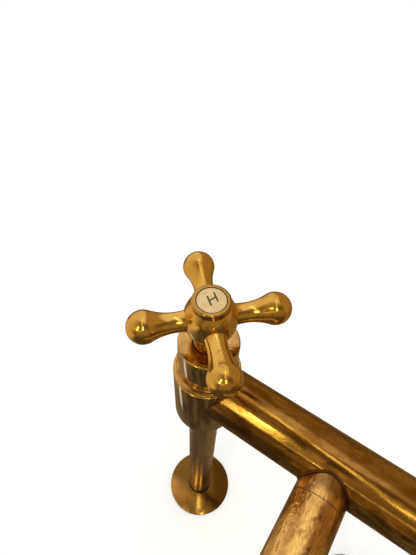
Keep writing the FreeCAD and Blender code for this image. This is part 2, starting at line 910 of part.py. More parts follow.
def spout_mouth():
    """The nozzle on the end of the spout and the holed plate that steadies the water."""
    step = "nozzle_length - nozzle_overlap"
    outer_round = "nozzle_radius - nozzle_round"
    turned(
        "spout_nozzle",
        [
            Corner("nozzle_thread_radius", "0"),
            Corner(outer_round, "0", "nozzle_round", 1),
            Corner("nozzle_radius", "nozzle_round"),
            Corner("nozzle_radius", "nozzle_length - nozzle_round", "nozzle_round", 1),
            Corner(outer_round, "nozzle_length"),
            Corner("spout_radius + seam_gap", "nozzle_length"),
            Corner("spout_radius + seam_gap", step),
            Corner("spout_inner_radius", step),
            Corner("spout_inner_radius", f"{step} - nozzle_step"),
            Corner("nozzle_thread_radius", f"{step} - nozzle_step"),
        ],
        y="-spout_reach",
        z="nozzle_base",
    )
    plate = turned(
        "flow_straightener",
        [
            Corner("0", "0"),
            Corner("nozzle_thread_radius - seam_gap", "0"),
            Corner("nozzle_thread_radius - seam_gap", "straightener_thickness"),
            Corner("0", "straightener_thickness"),
        ],
        y="-spout_reach",
        z="nozzle_base + straightener_inset",
    )
    centre = new_sketch(plate, "centre_jet", "XY_Plane")
    draw_circle(centre, "jet_radius")
    extrude(plate, centre, "straightener_thickness", cut=True, back=True)
    outer = new_sketch(plate, "outer_jet", "XY_Plane")
    draw_circle(outer, "jet_radius", across="jet_circle_radius")
    jet = extrude(plate, outer, "straightener_thickness", cut=True, back=True)
    repeat_about_axis(plate, jet, JETS_PER_RING)


def check_document():
    """Stops at any object that failed, and at any piece without one whole valid solid."""
    doc.recompute()
    for item in doc.Objects:
        if {"Invalid", "Error"} & set(item.State):
            raise ValueError(f"{item.Label} failed: {item.State}")
    bodies = [item for item in doc.Objects if item.TypeId == "PartDesign::Body"]
    for body in bodies:
        shape = body.Shape
        if shape.isNull() or not shape.isValid() or len(shape.Solids) != 1:
            raise ValueError(f"{body.Label} isn't one valid solid")
    return bodies


sizes = fill_sheet("Sizes", {name: str(value) for name, value in SIZES.items()})
levels = fill_sheet("Levels", {name: "=" + bound(formula) for name, formula in LEVELS.items()})

for side_name, (side_x, side_turn) in SIDES.items():
    valve_side(side_name, side_x, side_turn)
bridge_tube()
spout_stub()
spout_tube()
spout_mouth()

os.makedirs("parts", exist_ok=True)
for piece in check_document():
    piece.Shape.exportStep(f"parts/{piece.Label}.step")
    print(f"{piece.Label}: {piece.Shape.Volume:.1f} mm3")
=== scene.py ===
"""A deck-mounted bridge mixer in polished, lightly aged brass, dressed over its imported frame.

Lengths are in millimetres until a mesh is made, angles in radians unless a name says degrees.
The studio's lengths are in metres. Heights come from the frame's nodes, so every piece stands
where its solid stands.
"""

import json
import logging
import math
from collections.abc import Callable, Iterable, Sequence
from dataclasses import dataclass, field
from enum import Enum

import bmesh
import bpy
from mathutils import Matrix, Vector


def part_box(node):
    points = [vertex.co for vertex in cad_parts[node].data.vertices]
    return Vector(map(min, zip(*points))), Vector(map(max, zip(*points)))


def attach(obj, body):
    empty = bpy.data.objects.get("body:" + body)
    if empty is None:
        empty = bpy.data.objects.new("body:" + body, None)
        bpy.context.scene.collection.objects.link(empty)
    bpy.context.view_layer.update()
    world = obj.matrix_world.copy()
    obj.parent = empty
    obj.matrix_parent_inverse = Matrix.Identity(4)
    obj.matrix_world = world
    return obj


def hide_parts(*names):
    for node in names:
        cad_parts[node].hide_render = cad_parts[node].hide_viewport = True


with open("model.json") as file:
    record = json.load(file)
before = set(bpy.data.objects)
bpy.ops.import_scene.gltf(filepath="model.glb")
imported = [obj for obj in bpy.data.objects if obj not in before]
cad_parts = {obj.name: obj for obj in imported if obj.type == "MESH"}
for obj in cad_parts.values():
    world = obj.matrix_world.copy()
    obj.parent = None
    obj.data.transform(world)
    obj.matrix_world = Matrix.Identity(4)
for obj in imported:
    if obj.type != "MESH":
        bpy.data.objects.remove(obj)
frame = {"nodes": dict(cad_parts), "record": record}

MM = 0.001
LOG = logging.getLogger("bridge_mixer")

Pair = tuple[float, float]
Triple = tuple[float, float, float]
Outline = list[Pair]
Colour = Triple
Tree = bpy.types.NodeTree
Socket = bpy.types.NodeSocket
Value = Socket | float
Inputs = dict[str | int, object]
Piece = bpy.types.Object
Material = bpy.types.Material

# Facets in a turn
STEPS_ROUND = 144
FINE_STEPS_ROUND = 192
# Roundings of edges, in millimetres
KEEN, CRISP, BROKEN, EASED, SOFT = 0.1, 0.2, 0.3, 0.4, 0.5
# The most of a straight edge that the rounding of one of its ends takes
EDGE_SHARE = 0.49
# A point that lies nearer to the axis is a pole
POLE_REACH = 1e-6


# Forms turned about an axis


class Side(Enum):
    """The two valves, each with the way along X from the middle of the bridge to it."""

    HOT = ("hot", -1)
    COLD = ("cold", 1)

    @property
    def word(self) -> str:
        """The word that starts the names of this side's nodes."""
        return self.value[0]

    @property
    def way(self) -> int:
        """The sign of this side's place along X."""
        return self.value[1]


class Axis(Enum):
    """An axis to turn about: two directions across it, then the one along it."""

    UP = ((1, 0, 0), (0, 1, 0), (0, 0, 1))
    RIGHT = ((0, 1, 0), (0, 0, 1), (1, 0, 0))
    FORWARD = ((1, 0, 0), (0, 0, 1), (0, -1, 0))


@dataclass(frozen=True)
class Corner:
    """A corner of an outline: how far out from the axis, how far along it, and its rounding."""

    out: float
    along: float
    ease: float = 0.0

    @property
    def point(self) -> Vector:
        """The corner as a plane vector."""
        return Vector((self.out, self.along))


def eased(corners: Sequence[Corner], steps: int = 5) -> Outline:
    """Rounds the corners of a closed outline that ask for it.

    Args:
        corners: The outline's corners in order.
        steps: The number of straight pieces in each rounding.

    Returns:
        The outline's points.
    """
    points: Outline = []
    for index, corner in enumerate(corners):
        here = corner.point
        back = corners[index - 1].point - here
        ahead = corners[(index + 1) % len(corners)].point - here
        if not corner.ease:
            points.append((here.x, here.y))
            continue
        half = back.angle(ahead) / 2
        reach = min(
            corner.ease / math.tan(half), EDGE_SHARE * back.length, EDGE_SHARE * ahead.length
        )
        bisector = (back.normalized() + ahead.normalized()).normalized()
        centre = here + bisector * (reach / math.cos(half))
        first = here + back.normalized() * reach - centre
        last = here + ahead.normalized() * reach - centre
        sweep = first.angle(last)
        for step in range(steps + 1):
            share = step / steps
            spoke = first * math.sin((1 - share) * sweep) + last * math.sin(share * sweep)
            place = centre + spoke / math.sin(sweep)
            points.append((place.x, place.y))
    return points


def bow(start: Corner, end: Corner, radius: float, side: int, steps: int) -> list[Corner]:
    """The corners of an arc between two others, which are left out.

    Args:
        start: The corner that the arc leaves.
        end: The corner that the arc reaches.
        radius: The arc's radius.
        side: 1 where the arc's centre lies to the left of the way, -1 to the right.
        steps: The number of straight pieces in the arc.

    Returns:
        The corners between the two ends.
    """
    chord = end.point - start.point
    left = Vector((-chord.y, chord.x)).normalized()
    rise = math.sqrt(radius**2 - (chord.length / 2) ** 2)
    centre = (start.point + end.point) / 2 + left * (side * rise)
    first = start.point - centre
    turn = first.angle(end.point - centre) * side
    corners = []
    for step in range(1, steps):
        angle = turn * step / steps
        cosine, sine = math.cos(angle), math.sin(angle)
        spoke = Vector((first.x * cosine - first.y * sine, first.x * sine + first.y * cosine))
        corners.append(Corner(centre.x + spoke.x, centre.y + spoke.y))
    return corners


@dataclass(frozen=True)
class Turning:
    """A closed form turned about an axis, whose outline may change round the turn."""

    outline_at: Callable[[float], Outline]
    axis: Axis = Axis.UP
    centre: Triple = (0.0, 0.0, 0.0)
    steps: int = STEPS_ROUND

    @classmethod
    def plain(cls, corners: Sequence[Corner], **where: object) -> "Turning":
        """A form with the same outline all round.

        Args:
            corners: The corners of the outline.
            **where: The other fields of the form.

        Returns:
            The form.
        """
        outline = eased(corners)
        return cls(lambda angle: outline, **where)

    def add_to(self, form: bmesh.types.BMesh) -> None:
        """Adds the form's faces to a mesh in the making, with one vertex at each pole.

        Args:
            form: The mesh in the making, in metres.
        """
        across, aside, along = (Vector(direction) for direction in self.axis.value)
        poles: dict[int, bmesh.types.BMVert] = {}
        rows = []
        for step in range(self.steps):
            angle = math.tau * step / self.steps
            spoke = across * math.cos(angle) + aside * math.sin(angle)
            row = []
            for index, (out, height) in enumerate(self.outline_at(angle)):
                place = (Vector(self.centre) + spoke * out + along * height) * MM
                if out > POLE_REACH:
                    row.append(form.verts.new(place))
                else:
                    row.append(poles.get(index) or poles.setdefault(index, form.verts.new(place)))
            rows.append(row)
        for row, following in zip(rows, rows[1:] + rows[:1]):
            for index, vertex in enumerate(row):
                beside = (index + 1) % len(row)
                ring = [vertex, row[beside], following[beside], following[index]]
                ring = list(dict.fromkeys(ring))
                if len(ring) > 2:
                    form.faces.new(ring)


def smooth(mesh: bpy.types.Mesh, crease_degrees: float = 35.0) -> None:
    """Shades a mesh smooth, apart from edges that turn by more than the crease.

    Args:
        mesh: The mesh.
        crease_degrees: The least turn of a sharp edge.
    """
    mesh.polygons.foreach_set("use_smooth", [True] * len(mesh.polygons))
    mesh.set_sharp_from_angle(angle=math.radians(crease_degrees))


def placed(name: str, mesh: bpy.types.Mesh | bpy.types.Curve) -> Piece:
    """An object at the origin that shows a mesh or a text.

    Args:
        name: The object's name.
        mesh: Its mesh or text.

    Returns:
        The object, linked to the scene.
    """
    piece = bpy.data.objects.new(name, mesh)
    bpy.context.scene.collection.objects.link(piece)
    return piece


def finished(name: str, form: bmesh.types.BMesh) -> Piece:
    """Ends a mesh in the making and shows it as a smooth-shaded piece.

    Args:
        name: The piece's name.
        form: The mesh in the making, which is used up.

    Returns:
        The piece.
    """
    mesh = bpy.data.meshes.new(name)
    form.to_mesh(mesh)
    form.free()
    smooth(mesh)
    return placed(name, mesh)


def turned(name: str, *turnings: Turning) -> Piece:
    """One piece made of one or more turned forms.

    Args:
        name: The piece's name.
        *turnings: The forms.

    Returns:
        The piece, with its faces outwards.
    """
    form = bmesh.new()
    for turning in turnings:
        turning.add_to(form)
    bmesh.ops.recalc_face_normals(form, faces=form.faces)
    return finished(name, form)


def joined(name: str, *pieces: Piece) -> Piece:
    """Joins pieces into one and removes them.

    Args:
        name: The new piece's name.
        *pieces: The pieces to join.

    Returns:
        The new piece.
    """
    form = bmesh.new()
    for piece in pieces:
        form.from_mesh(piece.data)
        bpy.data.objects.remove(piece)
    return finished(name, form)


def flats(angle: float, count: int, width: float) -> float:
    """How far out a regular prism reaches at an angle; one of its corners lies at angle 0.

    Args:
        angle: The angle about the prism's axis.
        count: The number of flats.
        width: The width across flats.

    Returns:
        The distance from the axis to the flat.
    """
    span = math.tau / count
    return width / 2 / math.cos(angle % span - span / 2)


def nut(width: float, bore: float, base: float, crown: float, x: float) -> Turning:
    """A hexagon nut with both faces chamfered.

    Args:
        width: The width across flats.
        bore: The radius of the hole.
        base: The height of the lower face.
        crown: The height of the upper face.
        x: The place of its axis along X.

    Returns:
        The form.
    """
    flat_share, chamfer_degrees = 0.48, 30
    face = flat_share * width
    slope = math.tan(math.radians(chamfer_degrees))

    def outline_at(angle: float) -> Outline:
        """The nut's outline at an angle about its axis.

        Args:
            angle: The angle.

        Returns:
            The outline's points.
        """
        reach = flats(angle, 6, width)
        drop = max(0.0, reach - face) * slope
        return [
            (bore, base + BROKEN),
            (bore + BROKEN, base),
            (face, base),
            (reach, base + drop),
            (reach, crown - drop),
            (face, crown),
            (bore + BROKEN, crown),
            (bore, crown - BROKEN),
        ]

    return Turning(outline_at, centre=(x, 0.0, 0.0))


def facing_turn(across: Vector, facing: Vector) -> Vector:
    """The turn that brings X to one direction and Z to another, as angles about X, Y and Z.

    Args:
        across: Where X goes.
        facing: Where Z goes.

    Returns:
        The three angles.
    """
    columns = (across, facing.cross(across), facing)
    return Vector(Matrix(columns).transposed().to_euler())


# Node trees


def fill(tree: Tree, socket: Socket, value: object) -> None:
    """Feeds a socket.

    Args:
        tree: The node tree.
        socket: The socket.
        value: The socket's own value, or the output that feeds it.
    """
    if isinstance(value, Socket):
        tree.links.new(value, socket)
    else:
        socket.default_value = value


def wire(
    tree: Tree, kind: str, inputs: Inputs | None = None, **settings: object
) -> bpy.types.Node:
    """Adds a node to a tree and fills its sockets.

    Args:
        tree: The node tree.
        kind: The node's type.
        inputs: For a socket's name or index, a value, or the output that feeds it.
        **settings: The node's own properties.

    Returns:
        The node.
    """
    node = tree.nodes.new(kind)
    for name, value in settings.items():
        setattr(node, name, value)
    for key, value in (inputs or {}).items():
        fill(tree, node.inputs[key], value)
    return node


def maths(tree: Tree, operation: str, *values: Value) -> Socket:
    """One step of arithmetic in a tree.

    Args:
        tree: The node tree.
        operation: The operation of the Math node.
        *values: Numbers, or the outputs that give them.

    Returns:
        The result's output.
    """
    return wire(tree, "ShaderNodeMath", dict(enumerate(values)), operation=operation).outputs[0]


def stepped(tree: Tree, value: Socket, start: Value, end: Value) -> Socket:
    """A mask that goes softly from 0 to 1 between two values.

    Args:
        tree: The node tree.
        value: The value that the mask follows.
        start: The value where the mask is 0.
        end: The value where the mask is 1.

    Returns:
        The mask's output.
    """
    limits = {"Value": value, "From Min": start, "From Max": end}
    return wire(tree, "ShaderNodeMapRange", limits, interpolation_type="SMOOTHSTEP").outputs[0]


def mixed(tree: Tree, share: Socket, under: Socket | Colour, over: Socket | Colour) -> Socket:
    """Mixes two colours.

    Args:
        tree: The node tree.
        share: The mask.
        under: The colour where the mask is 0.
        over: The colour where the mask is 1.

    Returns:
        The mixed colour's output.
    """
    inputs = {0: share}
    for index, colour in ((6, under), (7, over)):
        inputs[index] = colour if isinstance(colour, Socket) else (*colour, 1.0)
    return wire(tree, "ShaderNodeMix", inputs, data_type="RGBA").outputs[2]


def clouds(
    tree: Tree, place: Socket, scale: float, start: float = 0.43, end: float = 0.57
) -> Socket:
    """Soft light and dark areas, as a furnished room has.

    Args:
        tree: The node tree.
        place: A point or direction.
        scale: How fine the areas are.
        start: The noise where an area starts.
        end: The noise where it is full.

    Returns:
        The areas' mask.
    """
    noise = wire(tree, "ShaderNodeTexNoise", {"Vector": place, "Scale": scale, "Detail": 1.0})
    return stepped(tree, noise.outputs[0], start, end)


@dataclass
class Jig:
    """A geometry node tree in the making, with named inputs for its sizes."""

    name: str
    tree: Tree = field(init=False)
    inlet: bpy.types.Node = field(init=False)

    def __post_init__(self) -> None:
        """Starts the tree with inputs for a blank and the finish, and an output for the shape."""
        self.tree = bpy.data.node_groups.new(self.name, "GeometryNodeTree")
        self.tree.interface.new_socket("Shape", in_out="OUTPUT", socket_type="NodeSocketGeometry")
        self.inlet = self.tree.nodes.new("NodeGroupInput")
        self.ask("Blank", "NodeSocketGeometry")
        self.ask("Finish", "NodeSocketMaterial")

    def ask(self, name: str, kind: str = "NodeSocketFloat") -> Socket:
        """Adds a named input.

        Args:
            name: The input's name.
            kind: Its socket type.

        Returns:
            The output of the tree's input node that carries it.
        """
        self.tree.interface.new_socket(name, in_out="INPUT", socket_type=kind)
        return self.inlet.outputs[name]

    def add(self, kind: str, inputs: Inputs | None = None, **settings: object) -> Socket:
        """Adds a node and returns its first output.

        Args:
            kind: The node's type.
            inputs: Values or outputs for its sockets.
            **settings: The node's own properties.

        Returns:
            The node's first output.
        """
        return wire(self.tree, kind, inputs, **settings).outputs[0]

    def close(self, shape: Socket) -> None:
        """Ends the tree: instances are made real and the finish is set.

        Args:
            shape: The output that carries the finished shape.
        """
        real = self.add("GeometryNodeRealizeInstances", {"Geometry": shape})
        finish = self.inlet.outputs["Finish"]
        dressed = self.add("GeometryNodeSetMaterial", {"Geometry": real, "Material": finish})
        wire(self.tree, "NodeGroupOutput", {"Shape": dressed})

    def bake(
        self, name: str, sizes: dict[str, object], blank: Piece | None = None, wall: float = 0.0
    ) -> Piece:
        """Runs the tree once and keeps its result as a plain mesh.

        Args:
            name: The new piece's name.
            sizes: The inputs by name, with lengths in metres.
            blank: The piece whose mesh the tree starts from, which is used up.
            wall: The wall's thickness in millimetres if the shape is an open skin.

        Returns:
            The piece.
        """
        carrier = blank or placed(f"{name}_blank", bpy.data.meshes.new(f"{name}_blank"))
        modifier = carrier.modifiers.new(self.name, "NODES")
        modifier.node_group = self.tree
        for item in self.tree.interface.items_tree:
            if item.in_out == "INPUT" and item.name in sizes:
                modifier[item.identifier] = sizes[item.name]
        if wall:
            skin = carrier.modifiers.new("Wall", "SOLIDIFY")
            skin.thickness = wall * MM
            skin.offset = -1.0
        graph = bpy.context.evaluated_depsgraph_get()
        mesh = bpy.data.meshes.new_from_object(carrier.evaluated_get(graph))
        bpy.data.objects.remove(carrier)
        mesh.name = name
        smooth(mesh)
        return placed(name, mesh)


def arm_jig() -> Jig:
    """The tree that sets copies of one arm evenly about a handle's axis.

    Returns:
        The jig, which copies its blank.
    """
    jig = Jig("Arms about a hub")
    arm = jig.inlet.outputs["Blank"]
    count = jig.ask("Arms", "NodeSocketInt")
    turn = jig.ask("Turn")
    centre = jig.ask("Centre", "NodeSocketVector")
    pile = {"Count": count, "Start Location": centre, "Offset": (0, 0, 0)}
    points = jig.add("GeometryNodeMeshLine", pile)
    span = maths(jig.tree, "DIVIDE", math.tau, count)
    index = jig.add("GeometryNodeInputIndex")
    angle = maths(jig.tree, "MULTIPLY_ADD", index, span, turn)
    rotation = jig.add("ShaderNodeCombineXYZ", {"Z": angle})
    copies = {"Points": points, "Instance": arm, "Rotation": rotation}
    jig.close(jig.add("GeometryNodeInstanceOnPoints", copies))
    return jig


def thread_jig() -> Jig:
    """The tree that winds the ridge of a screw thread round a shank.

    Returns:
        The jig.
    """
    jig = Jig("Screw thread")
    radius = jig.ask("Radius")
    depth = jig.ask("Depth")
    pitch = jig.ask("Pitch")
    turns = jig.ask("Turns")
    steps = jig.ask("Steps in a turn", "NodeSocketInt")
    foot = jig.ask("Foot", "NodeSocketVector")
    height = maths(jig.tree, "MULTIPLY", pitch, turns)
    winding = {
        "Resolution": steps,
        "Rotations": turns,
        "Start Radius": radius,
        "End Radius": radius,
        "Height": height,
    }
    helix = jig.add("GeometryNodeCurveSpiral", winding)
    upright = jig.add("GeometryNodeSetCurveNormal", {"Curve": helix}, mode="Z_UP")
    ridge = jig.add("GeometryNodeCurvePrimitiveCircle", {"Resolution": 4, "Radius": depth})
    sweep = {"Curve": upright, "Profile Curve": ridge, "Fill Caps": True}
    thread = jig.add("GeometryNodeCurveToMesh", sweep)
    jig.close(jig.add("GeometryNodeTransform", {"Geometry": thread, "Translation": foot}))
    return jig


def spout_jig() -> Jig:
    """The tree that bends a tube's skin from a level run into a drop.

    Returns:
        The jig, which leaves an open skin.
    """
    jig = Jig("Bent tube")
    points = [jig.ask(name, "NodeSocketVector") for name in ("Start", "Bend", "End")]
    bend = jig.ask("Bend radius")
    steps = jig.ask("Steps in the bend", "NodeSocketInt")
    radius = jig.ask("Tube radius")
    sides = jig.ask("Steps round the tube", "NodeSocketInt")
    line = jig.add("GeometryNodeMeshLine", {"Count": len(points)})
    choice = wire(jig.tree, "GeometryNodeIndexSwitch", data_type="VECTOR")
    choice.index_switch_items.new()
    for socket, point in zip(choice.inputs[1:], points):
        jig.tree.links.new(point, socket)
    jig.tree.links.new(jig.add("GeometryNodeInputIndex"), choice.inputs[0])
    route = jig.add("GeometryNodeSetPosition", {"Geometry": line, "Position": choice.outputs[0]})
    rounding = {
        "Curve": jig.add("GeometryNodeMeshToCurve", {"Mesh": route}),
        "Count": steps,
        "Radius": bend,
    }
    curve = jig.add("GeometryNodeFilletCurve", rounding, mode="POLY")
    ring = jig.add("GeometryNodeCurvePrimitiveCircle", {"Resolution": sides, "Radius": radius})
    jig.close(jig.add("GeometryNodeCurveToMesh", {"Curve": curve, "Profile Curve": ring}))
    return jig


def seam_jig() -> Jig:
    """The tree that lays a bead of solder where a tube's end is saddled on another tube.

    Returns:
        The jig.
    """
    jig = Jig("Saddle seam")
    tube = jig.ask("Tube radius")
    saddle = jig.ask("Saddle radius")
    bead = jig.ask("Bead radius")
    steps = jig.ask("Steps", "NodeSocketInt")
    place = jig.ask("Place", "NodeSocketVector")
    turn = jig.ask("Turn", "NodeSocketVector")
    ring = jig.add("GeometryNodeCurvePrimitiveCircle", {"Resolution": steps, "Radius": tube})
    position = jig.add("GeometryNodeInputPosition")
    across = jig.add("ShaderNodeSeparateXYZ", {"Vector": position})
    across_squared = maths(jig.tree, "MULTIPLY", across, across)
    saddle_squared = maths(jig.tree, "MULTIPLY", saddle, saddle)
    depth = maths(jig.tree, "SUBTRACT", saddle_squared, across_squared)
    depth = maths(jig.tree, "SQRT", depth)
    offset = jig.add("ShaderNodeCombineXYZ", {"Z": depth})
    path = jig.add("GeometryNodeSetPosition", {"Geometry": ring, "Offset": offset})
    round_bar = {"Resolution": 8, "Radius": bead}
    profile = jig.add("GeometryNodeCurvePrimitiveCircle", round_bar)
    seam = jig.add("GeometryNodeCurveToMesh", {"Curve": path, "Profile Curve": profile})
    setting = {"Geometry": seam, "Translation": place, "Rotation": turn}
    jig.close(jig.add("GeometryNodeTransform", setting))
    return jig


# Finishes


class Effects:
    """Surface effects that several finishes share, each built once as a node group."""

    def __init__(self) -> None:
        """Builds the groups."""
        self.patches = self._patches()
        self.marks = self._marks()
        self.specks = self._specks()

    @staticmethod
    def _group(name: str, inputs: Iterable[str], output: str) -> Tree:
        """Starts a group with a vector input, number inputs and one number output.

        Args:
            name: The group's name.
            inputs: The names of its number inputs.
            output: The name of its output.

        Returns:
            The group.
        """
        group = bpy.data.node_groups.new(name, "ShaderNodeTree")
        face = group.interface
        face.new_socket("Vector", in_out="INPUT", socket_type="NodeSocketVector")
        for title in inputs:
            face.new_socket(title, in_out="INPUT", socket_type="NodeSocketFloat")
        face.new_socket(output, in_out="OUTPUT", socket_type="NodeSocketFloat")
        return group

    def _patches(self) -> Tree:
        """Cloudy patches, as heat and handling leave on brass.

        Returns:
            The group.
        """
        group = self._group("Patches", ("Scale", "Level", "Softness", "Seed"), "Mask")
        inlet = group.nodes.new("NodeGroupInput").outputs
        cloud = {
            "Vector": inlet["Vector"],
            "W": inlet["Seed"],
            "Scale": inlet["Scale"],
            "Detail": 5.0,
            "Roughness": 0.58,
            "Distortion": 0.5,
        }
        noise = wire(group, "ShaderNodeTexNoise", cloud, noise_dimensions="4D")
        start = maths(group, "SUBTRACT", inlet["Level"], inlet["Softness"])
        end = maths(group, "ADD", inlet["Level"], inlet["Softness"])
        wire(group, "NodeGroupOutput", {"Mask": stepped(group, noise.outputs[0], start, end)})
        return group

    def _marks(self) -> Tree:
        """Fine hand-polishing marks that cross each other in two ways.

        Returns:
            The group.
        """
        group = self._group("Polishing marks", ("Scale", "Stretch"), "Height")
        inlet = group.nodes.new("NodeGroupInput").outputs
        strokes = []
        for turn in ((0.6, 0.2, 0.9), (-0.5, 0.4, -0.3)):
            grain = {"X": 1.0, "Y": 1.0, "Z": inlet["Stretch"]}
            grain = wire(group, "ShaderNodeCombineXYZ", grain).outputs[0]
            stroke = {"Vector": inlet["Vector"], "Rotation": turn, "Scale": grain}
            mapped = wire(group, "ShaderNodeMapping", stroke).outputs[0]
            fibre = {"Vector": mapped, "Scale": inlet["Scale"], "Detail": 2.0}
            strokes.append(wire(group, "ShaderNodeTexNoise", fibre).outputs[0])
        wire(group, "NodeGroupOutput", {"Height": maths(group, "MINIMUM", *strokes)})
        return group

    def _specks(self) -> Tree:
        """Small scattered pits or specks.

        Returns:
            The group.
        """
        group = self._group("Specks", ("Scale", "Size", "Share"), "Mask")
        inlet = group.nodes.new("NodeGroupInput").outputs
        spacing = {"Vector": inlet["Vector"], "Scale": inlet["Scale"], "Randomness": 1.0}
        cells = wire(group, "ShaderNodeTexVoronoi", spacing).outputs
        limits = {"Value": cells["Distance"], "From Min": inlet["Size"], "From Max": 0.0}
        near = wire(group, "ShaderNodeMapRange", limits).outputs[0]
        chance = wire(group, "ShaderNodeSeparateColor", {"Color": cells["Color"]}).outputs[0]
        chosen = maths(group, "LESS_THAN", chance, inlet["Share"])
        wire(group, "NodeGroupOutput", {"Mask": maths(group, "MULTIPLY", near, chosen)})
        return group


@dataclass(frozen=True)
class Trace:
    """A colour on one end of a piece, along one of its axes: a heat tint on some pieces, painted
    shade or a painted reflection on others.

    It sets in at one place and is full at the other, both in metres.
    """

    colour: Colour
    start: float
    end: float
    share: float = 0.8
    axis: str = "Y"
    both_ways: bool = False


class Bench:
    """One material in the making, with its coordinates and its main shader."""

    def __init__(self, name: str, stretch: Triple = (1.0, 1.0, 1.0)) -> None:
        """Starts the material.

        Args:
            name: The material's name.
            stretch: How much finer its patterns are along each axis.
        """
        self.material = bpy.data.materials.new(name)
        self.material.use_nodes = True
        self.tree = self.material.node_tree
        self.tree.nodes.clear()
        self.shader = self.tree.nodes.new("ShaderNodeBsdfPrincipled")
        wire(self.tree, "ShaderNodeOutputMaterial", {"Surface": self.shader.outputs[0]})
        self.place = wire(self.tree, "ShaderNodeTexCoord").outputs["Object"]
        mapping = {"Vector": self.place, "Scale": stretch}
        self.vector = wire(self.tree, "ShaderNodeMapping", mapping).outputs[0]

    def effect(self, group: Tree, **values: float) -> Socket:
        """Places a shared effect.

        Args:
            group: The effect's group.
            **values: Its inputs, by name.

        Returns:
            The effect's output.
        """
        inputs = {"Vector": self.vector, **values}
        return wire(self.tree, "ShaderNodeGroup", inputs, node_tree=group).outputs[0]

    def blend(
        self, share: Socket, under: Socket | Colour, over: Socket | Colour, strength: float = 1.0
    ) -> Socket:
        """Lays one colour over another where a mask is high.

        Args:
            share: The mask.
            under: The colour where the mask is 0.
            over: The colour where the mask is 1.
            strength: How much of the upper colour shows at most.

        Returns:
            The mixed colour's output.
        """
        return mixed(self.tree, maths(self.tree, "MULTIPLY", share, strength), under, over)

    def rise(self, tint_and_shade: Trace) -> Socket:
        """A mask that rises from the start of a heat tint or painted shade to its end.

        Args:
            tint_and_shade: The band of heat tint or painted shade, with its two places in metres.

        Returns:
            The mask's output.
        """
        parts = wire(self.tree, "ShaderNodeSeparateXYZ", {"Vector": self.place}).outputs
        place = parts[tint_and_shade.axis]
        if tint_and_shade.both_ways:
            place = maths(self.tree, "ABSOLUTE", place)
        return stepped(self.tree, place, tint_and_shade.start, tint_and_shade.end)

    def ramp(self, value: Socket, start: float, end: float) -> Socket:
        """Spreads a mask between two numbers.

        Args:
            value: The mask.
            start: The number where the mask is 0.
            end: The number where the mask is 1.

        Returns:
            The number's output.
        """
        limits = {"Value": value, "To Min": start, "To Max": end}
        return wire(self.tree, "ShaderNodeMapRange", limits).outputs[0]

    def feed(self, **inputs: Value) -> None:
        """Sets or links sockets of the shader, with underscores for the spaces in their names.

        Args:
            **inputs: Numbers, or the outputs that give them.
        """
        for name, value in inputs.items():
            fill(self.tree, self.shader.inputs[name.replace("_", " ")], value)

    def emboss(self, depth: float, *heights: tuple[Socket, float]) -> None:
        """Raises the surface by the sum of some heights.

        Args:
            depth: The depth in millimetres that a height of 1 stands for.
            *heights: Outputs, each with its share of the depth.
        """
        total: Value = 0.0
        for height, share in heights:
            total = maths(self.tree, "MULTIPLY_ADD", height, share, total)
        bump = wire(self.tree, "ShaderNodeBump", {"Height": total, "Distance": depth * MM})
        self.feed(Normal=bump.outputs[0])


@dataclass(frozen=True)
class Brass:
    """A copper alloy with its own colours, heat patches, marks and sheen, and on some pieces a
    band of painted shade or painted reflection at one end.
    """

    name: str
    bright: Colour
    aged: Colour
    tarnish: Colour
    aged_level: float = 0.55
    aged_softness: float = 0.16
    aged_scale: float = 38.0
    tarnish_share: float = 0.6
    tarnish_level: float = 0.64
    tarnish_softness: float = 0.09
    tarnish_scale: float = 150.0
    polished: float = 0.07
    worn: float = 0.2
    wave: float = 0.05
    wave_scale: float = 46.0
    mottle_share: float = 0.22
    mottle_scale: float = 620.0
    mottle_wear: float = 0.35
    tarnish_wear: float = 0.6
    mark: float = 0.005
    mark_scale: float = 1500.0
    mark_stretch: float = 0.12
    pit: Colour = (0.05, 0.03, 0.015)
    pit_scale: float = 420.0
    pit_share: float = 0.16
    pit_size: float = 0.16
    pit_darkness: float = 0.7
    pit_depth: float = 0.05
    stretch: Triple = (1.0, 1.0, 1.0)
    traces: tuple[Trace, ...] = ()
    seed: float = 0.0

    def material(self, effects: Effects) -> Material:
        """Builds the material.

        Args:
            effects: The shared effects.

        Returns:
            The material.
        """
        bench = Bench(self.name, self.stretch)
        aged, tarnish, mottle, waves = (
            bench.effect(
                effects.patches,
                Scale=scale,
                Level=level,
                Softness=softness,
                Seed=self.seed + shift,
            )
            for scale, level, softness, shift in (
                (self.aged_scale, self.aged_level, self.aged_softness, 0.0),
                (self.tarnish_scale, self.tarnish_level, self.tarnish_softness, 7.0),
                (self.mottle_scale, 0.5, 0.2, 3.0),
                (self.wave_scale, 0.5, 0.5, 11.0),
            )
        )
        marks = bench.effect(effects.marks, Scale=self.mark_scale, Stretch=self.mark_stretch)
        pits = bench.effect(
            effects.specks, Scale=self.pit_scale, Size=self.pit_size, Share=self.pit_share
        )
        colour = bench.blend(aged, self.bright, self.aged)
        colour = bench.blend(mottle, colour, self.aged, self.mottle_share)
        colour = bench.blend(tarnish, colour, self.tarnish, self.tarnish_share)
        # bands of heat tint, and of painted shade or painted reflection, towards one end of a
        # piece
        for tint_and_shade in self.traces:
            colour = bench.blend(bench.rise(tint_and_shade), colour, tint_and_shade.colour, tint_and_shade.share)
        colour = bench.blend(pits, colour, self.pit, self.pit_darkness)
        wear = maths(bench.tree, "MULTIPLY_ADD", mottle, self.mottle_wear, aged)
        wear = maths(bench.tree, "MULTIPLY_ADD", tarnish, self.tarnish_wear, wear)
        roughness = bench.ramp(wear, self.polished, self.worn)
        bench.feed(Base_Color=colour, Metallic=1.0, Roughness=roughness)
        bench.emboss(1.0, (waves, self.wave), (marks, self.mark), (pits, -self.pit_depth))
        return bench.material


